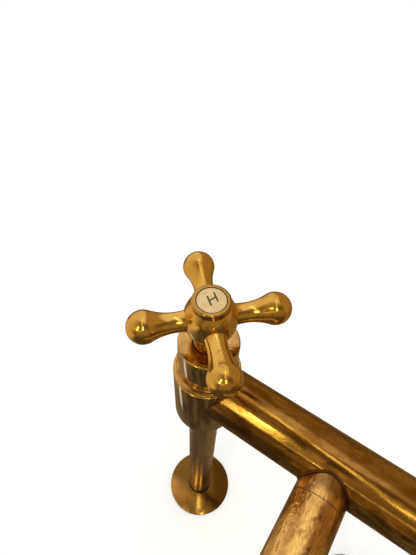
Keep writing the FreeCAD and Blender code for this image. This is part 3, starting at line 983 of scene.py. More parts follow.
@dataclass(frozen=True)
class Enamel:
    """Glossy cream enamel with a faint mottle and a few brown specks."""

    name: str = "cream_enamel"
    cream: Colour = (0.74, 0.53, 0.25)
    warm: Colour = (0.54, 0.37, 0.16)
    warm_share: float = 0.7
    speck: Colour = (0.16, 0.08, 0.03)
    speck_share: float = 0.75
    polished: float = 0.22
    worn: float = 0.34
    glaze: float = 0.4
    glaze_roughness: float = 0.1
    grain: float = 0.03

    def material(self, effects: Effects) -> Material:
        """Builds the material.

        Args:
            effects: The shared effects.

        Returns:
            The material.
        """
        bench = Bench(self.name)
        mottle = bench.effect(effects.patches, Scale=380.0, Level=0.52, Softness=0.25, Seed=2.0)
        specks = bench.effect(effects.specks, Scale=1100.0, Size=0.42, Share=0.2)
        colour = bench.blend(mottle, self.cream, self.warm, self.warm_share)
        bench.feed(
            Base_Color=bench.blend(specks, colour, self.speck, self.speck_share),
            Roughness=bench.ramp(mottle, self.polished, self.worn),
            Coat_Weight=self.glaze,
            Coat_Roughness=self.glaze_roughness,
        )
        bench.emboss(self.grain, (mottle, 1.0), (specks, -1.0))
        return bench.material


@dataclass(frozen=True)
class Dull:
    """A plain matt stuff, such as rubber, fibre sheet or packing, with its grain."""

    name: str
    colour: Colour
    deep: Colour
    roughness: float = 0.7
    rubbed: float = 0.12
    gleam: float = 0.5
    scale: float = 700.0
    grain: float = 0.04
    dust_share: float = 0.5
    stretch: Triple = (1.0, 1.0, 1.0)

    def material(self, effects: Effects) -> Material:
        """Builds the material.

        Args:
            effects: The shared effects.

        Returns:
            The material.
        """
        bench = Bench(self.name, self.stretch)
        grain = bench.effect(effects.patches, Scale=self.scale, Level=0.5, Softness=0.2, Seed=5.0)
        dust = bench.effect(effects.patches, Scale=90.0, Level=0.6, Softness=0.2, Seed=9.0)
        colour = bench.blend(grain, self.colour, self.deep)
        bench.feed(
            Base_Color=bench.blend(dust, colour, self.colour, self.dust_share),
            Roughness=bench.ramp(grain, self.roughness, self.roughness - self.rubbed),
            Specular_IOR_Level=self.gleam,
        )
        bench.emboss(self.grain, (grain, 1.0))
        return bench.material


POLISHED = Brass(
    "polished_brass",
    (0.86, 0.61, 0.18),
    (0.64, 0.41, 0.095),
    (0.28, 0.16, 0.038),
    mottle_share=0.5,
    pit_share=0.22,
)
HANDLED = Brass(
    "handled_ring_brass",
    (0.55, 0.37, 0.125),
    (0.38, 0.235, 0.065),
    (0.18, 0.095, 0.025),
    mottle_share=0.5,
    pit_share=0.25,
    polished=0.09,
    worn=0.24,
    seed=17.0,
)
DRAWN = Brass(
    "upright_drawn_brass",
    (0.70, 0.49, 0.20),
    (0.44, 0.30, 0.115),
    (0.22, 0.145, 0.055),
    wave=0.12,
    wave_scale=130.0,
    stretch=(1.0, 1.0, 0.08),
    seed=1.0,
)
HEATED_TOP_SHADED = Brass(
    "heat_patched_top_shaded_brass",
    (0.90, 0.58, 0.18),
    (0.44, 0.25, 0.060),
    (0.17, 0.080, 0.018),
    aged_level=0.49,
    aged_softness=0.04,
    aged_scale=55.0,
    tarnish_share=0.85,
    tarnish_level=0.56,
    tarnish_scale=110.0,
    polished=0.04,
    worn=0.15,
    mottle_share=0.5,
    wave=0.13,
    wave_scale=85.0,
    mark=0.0,
    pit_share=0.25,
    stretch=(0.45, 1.0, 1.0),
    traces=(
        Trace((0.50, 0.28, 0.11), 0.052, 0.068, 0.5, "X", both_ways=True),
        # painted shade: the bridge darker on its top and back, from 8.5 mm in front of its axis
        # backwards
        Trace((0.21, 0.105, 0.018), -0.0085, -0.0040, 0.62),
    ),
    seed=4.0,
)
BEATEN = Brass(
    "beaten_spout_brass",
    (0.98, 0.70, 0.27),
    (0.48, 0.275, 0.095),
    (0.12, 0.055, 0.016),
    aged_level=0.56,
    aged_softness=0.09,
    aged_scale=85.0,
    tarnish_level=0.60,
    tarnish_scale=200.0,
    tarnish_share=0.9,
    polished=0.10,
    worn=0.26,
    wave=0.42,
    wave_scale=240.0,
    mottle_share=0.5,
    pit_share=0.3,
    stretch=(1.0, 0.45, 1.0),
    traces=(
        Trace((0.60, 0.36, 0.17), -0.030, -0.021, 0.3),
        # painted shade: the stub darker near the bridge, fading out 22.5 mm in front of the
        # bridge's axis
        Trace((0.16, 0.08, 0.022), -0.0225, -0.0170, 0.7),
    ),
    seed=12.0,
)
PINKISH = Brass(
    "pinkish_leg_brass",
    (0.95, 0.67, 0.43),
    (0.72, 0.47, 0.27),
    (0.36, 0.21, 0.10),
    polished=0.20,
    worn=0.34,
    stretch=(1.0, 1.0, 0.25),
    # painted reflection: the leg darker towards its foot, where it mirrors the rose
    traces=(Trace((0.46, 0.29, 0.10), 0.110, 0.050, 0.5, "Z"),),
    seed=8.0,
)
ROSE_BACK_SHADED = Brass(
    "deck_worn_brass",
    (0.80, 0.54, 0.19),
    (0.46, 0.28, 0.08),
    (0.13, 0.065, 0.012),
    polished=0.12,
    worn=0.20,
    mottle_share=0.2,
    wave=0.02,
    mark=0.0,
    # painted shade: the rose dark on all but its front, from 19 mm in front of its axis backwards
    traces=(Trace((0.15, 0.08, 0.018), -0.019, -0.007, 0.92),),
    seed=15.0,
)
TURNED = Brass(
    "turned_brass",
    (0.62, 0.42, 0.14),
    (0.46, 0.29, 0.10),
    (0.26, 0.15, 0.06),
    polished=0.26,
    worn=0.42,
    mark=0.012,
    stretch=(1.0, 1.0, 3.0),
    seed=2.0,
)
SCORCHED = Brass(
    "scorched_solder",
    (0.15, 0.065, 0.025),
    (0.08, 0.032, 0.014),
    (0.03, 0.014, 0.007),
    polished=0.25,
    worn=0.45,
    aged_scale=120.0,
    seed=3.0,
)
SOLDER = Brass(
    "solder",
    (0.17, 0.145, 0.11),
    (0.10, 0.08, 0.055),
    (0.05, 0.035, 0.02),
    polished=0.32,
    worn=0.5,
    aged_scale=140.0,
    seed=6.0,
)

SLOT_FINISHES = {
    "polished_brass": POLISHED,
    "aged_brass": HEATED_TOP_SHADED,
    "leg_brass": PINKISH,
    "tail_brass": TURNED,
    "plain_brass": TURNED,
    "enamel": Enamel(),
    "rubber": Dull("black_rubber", (0.022, 0.021, 0.02), (0.012, 0.012, 0.012)),
    "fibre": Dull("red_fibre", (0.30, 0.075, 0.04), (0.17, 0.04, 0.022), stretch=(1.0, 0.3, 2.0)),
    "packing": Dull("graphited_packing", (0.10, 0.10, 0.10), (0.04, 0.04, 0.04), roughness=0.55),
}
# painted shade: a near-black matt ring laid in narrow gaps where shade falls
GAP_SHADE = Dull("painted_gap_shade", (0.006, 0.005, 0.004), (0.002, 0.002, 0.002), 0.9, gleam=0.04)
LETTERING = Dull("letter_enamel", (0.045, 0.022, 0.012), (0.02, 0.01, 0.008), roughness=0.42)


# The workshop


def low(node: str) -> float:
    """The height of a node's lowest point, in millimetres."""
    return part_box(node)[0].z / MM


def high(node: str) -> float:
    """The height of a node's highest point, in millimetres."""
    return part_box(node)[1].z / MM


def middle(node: str, axis: int = 0) -> float:
    """The middle of a node's box along an axis, in millimetres.

    Args:
        node: The node's name.
        axis: 0 for X, 1 for Y or 2 for Z.

    Returns:
        The coordinate.
    """
    lowest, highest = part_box(node)
    return (lowest[axis] + highest[axis]) / 2 / MM


@dataclass(frozen=True)
class Thread:
    """A screw thread, wound on a shank that is turned down to the thread's root."""

    radius: float
    depth: float
    pitch: float
    length: float
    steps: int

    @property
    def root(self) -> float:
        """The radius at the bottom of the thread."""
        return self.radius - self.depth


class Workshop:
    """Keeps the finishes and jigs, and dresses each finished piece and hangs it on its body."""

    def __init__(self) -> None:
        """Builds the materials and the trees."""
        effects = Effects()
        self.by_slot = {slot: finish.material(effects) for slot, finish in SLOT_FINISHES.items()}
        self.drawn = DRAWN.material(effects)
        self.handled = HANDLED.material(effects)
        self.beaten = BEATEN.material(effects)
        self.deck_worn = ROSE_BACK_SHADED.material(effects)
        self.scorched = SCORCHED.material(effects)
        self.solder = SOLDER.material(effects)
        self.lettering = LETTERING.material(effects)
        self.grime = GAP_SHADE.material(effects)
        self.arms = arm_jig()
        self.thread = thread_jig()
        self.spout = spout_jig()
        self.seam = seam_jig()
        record = frame["record"]
        self.slots = {part["node"]: part["material_slot"] for part in record["subparts"]}
        self.bodies = {
            node: body for body, nodes in record["behaviour"]["bodies"].items() for node in nodes
        }
        self.hidden: set[str] = set()

    def finish_of(self, node: str) -> Material:
        """The finish that a node's slot has."""
        return self.by_slot[self.slots[node]]

    def add(self, piece: Piece, node: str, material: Material | None = None) -> None:
        """Dresses a finished piece and hangs it on the body of the node that it rides with.

        Args:
            piece: The finished piece.
            node: The node that it sits on.
            material: Its finish, if that isn't the node's.
        """
        self._dress(piece, material or self.finish_of(node))
        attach(piece, self.bodies[node])
        LOG.info("%s rides with %s: %d faces", piece.name, node, len(piece.data.polygons))

    def stand_in(self, piece: Piece, node: str, material: Material | None = None) -> None:
        """Adds a piece that takes a CAD node's place, and hides the node.

        Args:
            piece: The finished piece.
            node: The node that it stands for.
            material: Its finish, if that isn't the node's.
        """
        self.add(piece, node, material)
        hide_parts(node)
        self.hidden.add(node)

    def lathe(
        self,
        node: str,
        corners: Sequence[Corner],
        x: float,
        material: Material | None = None,
        steps: int = STEPS_ROUND,
    ) -> None:
        """Turns the piece that stands for a node, about an upright axis in the valves' plane.

        Args:
            node: The node.
            corners: The outline, as radii and heights.
            x: The place of the axis along X.
            material: The piece's finish, if that isn't the node's.
            steps: The number of facets in a turn.
        """
        form = Turning.plain(corners, centre=(x, 0.0, 0.0), steps=steps)
        self.stand_in(turned(f"{node}_dressed", form), node, material)

    def caulk(self, node: str, corners: Sequence[Corner], x: float) -> None:
        """Fills a narrow gap at a node with a near-black ring of painted shade.

        Args:
            node: The node.
            corners: The ring's outline.
            x: The place of its axis along X.
        """
        ring = Turning.plain(corners, centre=(x, 0.0, 0.0))
        self.add(turned(f"{node}_grime", ring), node, self.grime)

    def wind(self, node: str, core: Piece, thread: Thread, x: float, foot: float) -> None:
        """Winds a thread round a turned core, which then stands for a node.

        Args:
            node: The node.
            core: The turned core, which is used up.
            thread: The thread.
            x: The place of its axis along X.
            foot: The height where the thread starts.
        """
        ridge = self.thread.bake(
            f"{node}_ridge",
            {
                "Finish": self.finish_of(node),
                "Radius": thread.root * MM,
                "Depth": thread.depth * MM,
                "Pitch": thread.pitch * MM,
                "Turns": thread.length / thread.pitch - 1.0,
                "Steps in a turn": thread.steps,
                "Foot": (x * MM, 0.0, (foot + thread.pitch / 2) * MM),
            },
        )
        self.stand_in(joined(f"{node}_dressed", core, ridge), node)

    def seal(
        self,
        name: str,
        node: str,
        radii: Triple,
        place: Triple,
        across: Vector,
        facing: Vector,
    ) -> None:
        """Lays a scorched bead where a tube's end is saddled on another tube.

        Args:
            name: The bead's name.
            node: The node that it rides with.
            radii: The radii of the tube, the saddle and the bead.
            place: The point where the tubes' axes meet.
            across: The way across both tubes, or along the tube that is saddled on.
            facing: The way that the tube leaves the other one.
        """
        sizes = dict(zip(("Tube radius", "Saddle radius", "Bead radius"), radii))
        seam = self.seam.bake(
            name,
            {
                "Finish": self.scorched,
                **{title: radius * MM for title, radius in sizes.items()},
                "Steps": STEPS_ROUND,
                "Place": tuple(part * MM for part in place),
                "Turn": tuple(facing_turn(across, facing)),
            },
        )
        self.add(seam, node, self.scorched)

    def coat_the_rest(self) -> None:
        """Gives every CAD node that still shows its slot's finish."""
        for node, piece in frame["nodes"].items():
            if node not in self.hidden:
                self._dress(piece, self.finish_of(node))
                LOG.info("%s keeps its solid", node)

    @staticmethod
    def _dress(piece: Piece, material: Material) -> None:
        """Gives a piece one material.

        Args:
            piece: The piece.
            material: The material.
        """
        slots = piece.data.materials
        if not slots:
            slots.append(material)
        for index in range(len(slots)):
            slots[index] = material


# Sub-assemblies


@dataclass
class Assembly:
    """One sub-assembly of a valve, built about that valve's upright axis."""

    side: Side
    shop: Workshop

    def named(self, title: str) -> str:
        """The name of this side's node of a kind."""
        return f"{self.side.word}_{title}"


@dataclass
class DeckFixings(Assembly):
    """The threaded tail under a leg, and the washers and backnut that clamp it to the deck."""

    bore: float = 6.5
    pipe_end: float = 7.5
    thread: Thread = Thread(radius=10.48, depth=0.62, pitch=1.814, length=32.0, steps=28)
    clearance: float = 0.05
    shank: float = 11.5
    shank_length: float = 14.0
    flange: float = 16.5
    flange_height: float = 3.0
    collar: float = 11.0
    spigot: float = 9.85
    washer: float = 22.0
    slip_washer: float = 20.0
    nut_width: float = 30.0

    def build(self) -> None:
        """Makes the tail, both washers and the backnut."""
        tail = self.named("inlet_tail")
        x = middle(tail)
        self._tail(tail, x)
        hole = self.thread.radius + self.clearance
        for title, radius, ease in (
            ("deck_washer", self.washer, SOFT),
            ("slip_washer", self.slip_washer, SOFT / 2),
        ):
            node = self.named(title)
            washer = [
                Corner(hole, low(node), ease / 2),
                Corner(radius, low(node), ease),
                Corner(radius, high(node), ease),
                Corner(hole, high(node), ease / 2),
            ]
            self.shop.lathe(node, washer, x)
        node = self.named("backnut")
        hexagon = nut(self.nut_width, hole, low(node), high(node), x)
        self.shop.stand_in(turned(f"{node}_dressed", hexagon), node)

    def _tail(self, node: str, x: float) -> None:
        """Makes the tail, with a wound thread on its shank.

        Args:
            node: The tail's node.
            x: The place of its axis.
        """
        thread_top = -self.shank_length
        thread_foot = thread_top - self.thread.length
        leg_foot = low(self.named("leg_tube"))
        corners = [
            Corner(self.bore, low(node), BROKEN),
            Corner(self.pipe_end, low(node), EASED),
            Corner(self.pipe_end, thread_foot, CRISP),
            Corner(self.thread.root, thread_foot, SOFT),
            Corner(self.thread.root, thread_top, CRISP),
            Corner(self.shank, thread_top, SOFT),
            Corner(self.shank, 0.0, CRISP),
            Corner(self.flange, 0.0, BROKEN),
            Corner(self.flange, self.flange_height, EASED),
            Corner(self.collar, self.flange_height, BROKEN),
            Corner(self.collar, leg_foot, KEEN),
            Corner(self.spigot, leg_foot, KEEN),
            Corner(self.spigot, high(node), EASED),
            Corner(self.bore, high(node), BROKEN),
        ]
        core = turned(f"{node}_core", Turning.plain(corners, centre=(x, 0.0, 0.0)))
        self.shop.wind(node, core, self.thread, x, thread_foot)


@dataclass
class LegAndRose(Assembly):
    """The long upright tube and the shallow hollow cone round its foot."""

    leg: float = 11.0
    leg_wall: float = 1.1
    rose: float = 31.8
    rose_land: float = 2.9
    rose_rim: float = 1.5
    rose_hole: float = 11.5
    rose_wall: float = 1.4
    rose_edge: float = 0.35
    rim_round: float = 0.8
    hem_round: float = 0.25

    def build(self) -> None:
        """Makes the leg and the rose."""
        node = self.named("leg_tube")
        x = middle(node)
        inner = self.leg - self.leg_wall
        tube = [
            Corner(inner, low(node), KEEN),
            Corner(self.leg, low(node), CRISP),
            Corner(self.leg, high(node), CRISP),
            Corner(inner, high(node), KEEN),
        ]
        self.shop.lathe(node, tube, x)
        node = self.named("deck_rose")
        cone = [
            Corner(self.rose - self.rose_land, 0.0, CRISP),
            Corner(self.rose, 0.0, self.rose_edge),
            Corner(self.rose, self.rose_rim, self.rim_round),
            Corner(self.rose_hole, high(node), self.rose_edge),
            Corner(self.rose_hole, high(node) - self.rose_wall, self.hem_round),
        ]
        self.shop.lathe(node, cone, x, self.shop.deck_worn)


@dataclass
class ValveBody(Assembly):
    """The cast body between leg and shroud, with its coved shoulder."""

    radius: float = 20.4
    foot_round: float = 0.9
    shoulder_round: float = 1.2
    cove_height: float = 2.9
    cove_radius: float = 4.6
    cove_steps: int = 10
    neck: float = 17.6
    socket: float = 11.05
    thread: float = 12.05

    def build(self) -> None:
        """Makes the body's shell, open from the leg's socket to the headgear's thread."""
        node = self.named("valve_body")
        base, crown = low(node), high(node)
        shoulder = Corner(self.radius - self.shoulder_round, crown - self.cove_height)
        lip = Corner(self.neck, crown)
        corners = [
            Corner(self.socket, base, BROKEN),
            Corner(self.radius, base, self.foot_round),
            Corner(self.radius, shoulder.along, self.shoulder_round),
            shoulder,
            *bow(shoulder, lip, self.cove_radius, -1, self.cove_steps),
            lip,
            Corner(self.thread, crown, CRISP),
        ]
        self.shop.lathe(node, corners, middle(node), self.shop.drawn, FINE_STEPS_ROUND)


@dataclass
class Shroud(Assembly):
    """The plain tube with a flat holed top, and the gland nut whose boss fills the hole."""

    radius: float = 17.2
    wall: float = 1.2
    top_wall: float = 1.5
    rim_round: float = 0.8
    hole: float = 9.1
    hole_round: float = 0.12
    boss: float = 8.2
    boss_foot: float = 8.5
    boss_depth: float = 1.2
    boss_step: float = 0.2
    stem_bore: float = 5.1
    female: float = 8.25
    hexagon_width: float = 18.5
    hexagon_height: float = 6.3
    proud: float = 0.35
    grime_depth: float = 0.15
    grime_height: float = 0.6
    grime_overlap: float = 0.05

    def build(self) -> None:
        """Makes the shroud, the gland nut and the painted shade in the gap between them."""
        node = self.named("shroud")
        x = middle(node)
        inner = self.radius - self.wall
        base, crown = low(node), high(node)
        corners = [
            Corner(inner, base, CRISP),
            Corner(self.radius, base, BROKEN),
            Corner(self.radius, crown, self.rim_round),
            Corner(self.hole, crown, self.hole_round),
            Corner(self.hole, crown - self.top_wall, CRISP),
            Corner(inner, crown - self.top_wall, CRISP),
        ]
        self.shop.lathe(node, corners, x, self.shop.drawn, FINE_STEPS_ROUND)
        self._gland(self.named("gland_nut"), x)
        # painted shade: a near-black ring in the gap between the shroud's hole and the gland's
        # boss
        level = crown - self.grime_depth
        inside, outside = self.boss - self.grime_overlap, self.hole + self.grime_overlap
        grime = [
            Corner(inside, level - self.grime_height),
            Corner(outside, level - self.grime_height),
            Corner(outside, level),
            Corner(inside, level),
        ]
        self.shop.caulk(node, grime, x)

    def _gland(self, node: str, x: float) -> None:
        """Makes the gland nut: a hexagon below a round boss.

        Args:
            node: The nut's node.
            x: The place of its axis.
        """
        base, crown = low(node), high(node)
        hexagon_top = base + self.hexagon_height
        sleeve = [
            Corner(self.stem_bore, hexagon_top - self.boss_depth),
            Corner(self.boss_foot, hexagon_top - self.boss_depth),
            Corner(self.boss_foot, hexagon_top + self.boss_step, CRISP),
            Corner(self.boss, hexagon_top + 2 * self.boss_step, CRISP),
            Corner(self.boss, crown + self.proud, self.hole_round),
            Corner(self.stem_bore, crown + self.proud, BROKEN),
        ]
        ring = nut(self.hexagon_width, self.female, base, hexagon_top, x)
        boss = Turning.plain(sleeve, centre=(x, 0.0, 0.0))
        self.shop.stand_in(turned(f"{node}_dressed", boss, ring), node)


@dataclass
class Spindle(Assembly):
    """The rising spindle: hollow screwed foot, round stem and a square for the handle."""

    stem: float = 5.0
    hollow: float = 2.6
    hollow_depth: float = 11.0
    thread: Thread = Thread(radius=7.0, depth=0.6, pitch=2.4, length=11.5, steps=32)
    square: float = 7.0
    square_length: float = 11.2
    square_steps: int = 64

    def build(self) -> None:
        """Makes the spindle, with a wound thread on its foot."""
        node = self.named("spindle")
        x = middle(node)
        foot, tip = low(node), high(node)
        shoulder = tip - self.square_length
        thread_top = foot + self.thread.length
        body = [
            Corner(self.hollow, foot, CRISP),
            Corner(self.thread.root, foot, EASED),
            Corner(self.thread.root, thread_top, BROKEN),
            Corner(self.stem, thread_top, CRISP),
            Corner(self.stem, shoulder, BROKEN),
            Corner(0.0, shoulder),
            Corner(0.0, foot + self.hollow_depth),
            Corner(self.hollow, foot + self.hollow_depth),
        ]

        def square_at(angle: float) -> Outline:
            """The square's outline at an angle about the stem."""
            reach = flats(angle - math.pi / 4, 4, self.square)
            return [(0.0, shoulder), (reach, shoulder), (reach, tip), (0.0, tip)]

        core = turned(
            f"{node}_core",
            Turning.plain(body, centre=(x, 0.0, 0.0)),
            Turning(square_at, centre=(x, 0.0, 0.0), steps=self.square_steps),
        )
        self.shop.wind(node, core, self.thread, x, foot)


@dataclass
class CrossHandle(Assembly):
    """A ball-like hub with four pear-shaped arms, set at 45 degrees to the bridge."""

    arms: int = 4
    turn_degrees: float = 45.0
    foot: float = 9.9
    rim: float = 11.3
    rim_height: float = 3.0
    bow_radius: float = 17.6
    bow_steps: int = 28
    top: float = 9.5
    hub_height: float = 23.7
    arm_level: float = 12.3
    arm_start: float = 11.2
    arm_steps_round: int = 96
    waist_reach: float = 17.5
    waist: float = 5.2
    flare_steps: int = 24
    ball_reach: float = 33.4
    ball: float = 8.6
    ball_steps: int = 40

    def build(self) -> None:
        """Makes the hub and its arms as one piece."""
        node = self.named("cross_handle")
        x = middle(node)
        base = low(node)
        rim = Corner(self.rim, base + self.rim_height)
        crown = Corner(self.top, base + self.hub_height)
        outline = [
            Corner(0.0, base),
            Corner(self.foot, base, SOFT),
            rim,
            *bow(rim, crown, self.bow_radius, 1, self.bow_steps),
            crown,
            Corner(0.0, base + self.hub_height),
        ]
        form = Turning.plain(outline, centre=(x, 0.0, 0.0), steps=FINE_STEPS_ROUND)
        hub = turned(f"{node}_hub", form)
        form = Turning.plain(self._arm(), axis=Axis.RIGHT, steps=self.arm_steps_round)
        arms = self.shop.arms.bake(
            f"{node}_arms",
            {
                "Finish": self.shop.finish_of(node),
                "Arms": self.arms,
                "Turn": math.radians(self.turn_degrees),
                "Centre": (x * MM, 0.0, (base + self.arm_level) * MM),
            },
            blank=turned(f"{node}_arm", form),
        )
        self.shop.stand_in(joined(f"{node}_dressed", hub, arms), node)

    def _arm(self) -> list[Corner]:
        """The outline of one arm about its own axis, from inside the hub to the ball's tip.

        Returns:
            The outline's corners.
        """
        span = self.ball_reach - self.waist_reach
        flare = (span**2 + self.waist**2 - self.ball**2) / (2 * (self.ball - self.waist))
        share = self.ball / (flare + self.ball)
        blend = Corner(share * (self.waist + flare), self.ball_reach - share * span)
        root_drop = self.waist_reach - self.arm_start
        root = Corner(self.waist + flare - math.sqrt(flare**2 - root_drop**2), self.arm_start)
        tip = Corner(0.0, self.ball_reach + self.ball)
        return [
            Corner(0.0, self.arm_start),
            root,
            *bow(root, blend, flare, -1, self.flare_steps),
            blend,
            *bow(blend, tip, self.ball, 1, self.ball_steps),
            tip,
        ]


@dataclass
class IndexTop(Assembly):
    """The pressed-in ring, the enamelled disc that lies in it and its plain letter."""

    ring: float = 9.8
    ring_round: float = 1.3
    ring_foot_round: float = 0.25
    nose: float = 8.4
    nose_length: float = 4.0
    cup: float = 7.55
    cup_round: float = 0.18
    disc: float = 7.5
    disc_drop: float = 0.2
    disc_thickness: float = 1.6
    disc_lift: float = 0.02
    rim_drop: float = 0.06
    dome_drop: float = 0.01
    dome_round: float = 3.0
    grime: float = 0.3
    grime_height: float = 0.2
    grime_slope: float = 0.02
    letter_height: float = 6.0
    letter_thickness: float = 0.05
    letter_steps: int = 6
    size_for_height: float = 1.35
    reading_degrees: float = 70.0
    lean: float = 0.28

    def build(self) -> None:
        """Makes the ring, the disc, the letter and the painted shade round the disc."""
        node = self.named("index_ring")
        x = middle(node)
        base, crown = low(node), high(node)
        seat = base + self.nose_length
        floor = crown - self.disc_drop - self.disc_thickness
        ring = [
            Corner(0.0, base),
            Corner(self.nose, base, BROKEN),
            Corner(self.nose, seat, KEEN),
            Corner(self.ring, seat, self.ring_foot_round),
            Corner(self.ring, crown, self.ring_round),
            Corner(self.cup, crown, self.cup_round),
            Corner(self.cup, floor, KEEN),
            Corner(0.0, floor),
        ]
        self.shop.lathe(node, ring, x, self.shop.handled)
        node = self.named("index_disc")
        top = high(node)
        disc = [
            Corner(0.0, floor + self.disc_lift),
            Corner(self.disc, floor + self.disc_lift, KEEN),
            Corner(self.disc, top - self.rim_drop, BROKEN),
            Corner(self.disc / 2, top - self.dome_drop, self.dome_round),
            Corner(0.0, top),
        ]
        self.shop.lathe(node, disc, x)
        self._letter(node, x, top)
        # painted shade: a near-black ring over the disc's edge and the gap round it
        inside = self.disc - self.grime
        grime = [
            Corner(inside, top - self.grime_height),
            Corner(self.cup, top - self.grime_height),
            Corner(self.cup, top + self.grime_slope),
            Corner(inside, top - self.grime_slope),
        ]
        self.shop.caulk(node, grime, x)

    def _letter(self, node: str, x: float, top: float) -> None:
        """Sets the first letter of the side's word on the disc, as a thin raised enamel.

        Args:
            node: The disc's node.
            x: The place of the disc's axis.
            top: The height of the disc's top.
        """
        text = bpy.data.curves.new(f"{node}_letter_curve", "FONT")
        text.body = self.side.word[0].upper()
        text.align_x, text.align_y = "CENTER", "CENTER"
        text.size = self.letter_height * self.size_for_height * MM
        text.extrude = self.letter_thickness / 2 * MM
        text.shear = self.lean
        text.resolution_u = self.letter_steps
        carrier = placed(f"{node}_letter_carrier", text)
        graph = bpy.context.evaluated_depsgraph_get()
        mesh = bpy.data.meshes.new_from_object(carrier.evaluated_get(graph))
        bpy.data.objects.remove(carrier)
        middle_up = top + self.letter_thickness / 2
        turn = Matrix.Rotation(math.radians(self.reading_degrees), 4, "Z")
        mesh.transform(Matrix.Translation(Vector((x, 0.0, middle_up)) * MM) @ turn)
        self.shop.add(placed(f"{node}_letter", mesh), node, self.shop.lettering)


@dataclass
class Bridge:
    """The thick cross tube, saddled on the two bodies, and the beads that seal it."""

    shop: Workshop
    node: str = "bridge_tube"
    radius: float = 17.5
    wall: float = 1.5
    half: float = 87.5
    body: float = 20.45
    edge: float = 0.3
    bead: float = 0.3

    def build(self) -> None:
        """Makes the tube and a bead at each end."""
        level = middle(self.node, 2)
        outer, inner = self.radius, self.radius - self.wall

        def end(out: float, angle: float) -> float:
            """How far along the bridge its wall meets a body."""
            return self.half - math.sqrt(self.body**2 - (out * math.cos(angle)) ** 2)

        def outline_at(angle: float) -> Outline:
            """The wall's outline at an angle about the bridge.

            Args:
                angle: The angle.

            Returns:
                The outline's points.
            """
            ends = [
                (outer, end(outer, angle) - self.edge),
                (outer - self.edge, end(outer - self.edge, angle)),
                (inner, end(inner, angle)),
            ]
            return [(out, -along) for out, along in ends] + ends[::-1]

        tube = Turning(outline_at, Axis.RIGHT, (0.0, 0.0, level), steps=FINE_STEPS_ROUND)
        self.shop.stand_in(turned(f"{self.node}_dressed", tube), self.node)
        for side in Side:
            self.shop.seal(
                f"{side.word}_bridge_seam",
                self.node,
                (outer, self.body, self.bead),
                (side.way * self.half, 0.0, level),
                across=Vector((0.0, -side.way, 0.0)),
                facing=Vector((-side.way, 0.0, 0.0)),
            )


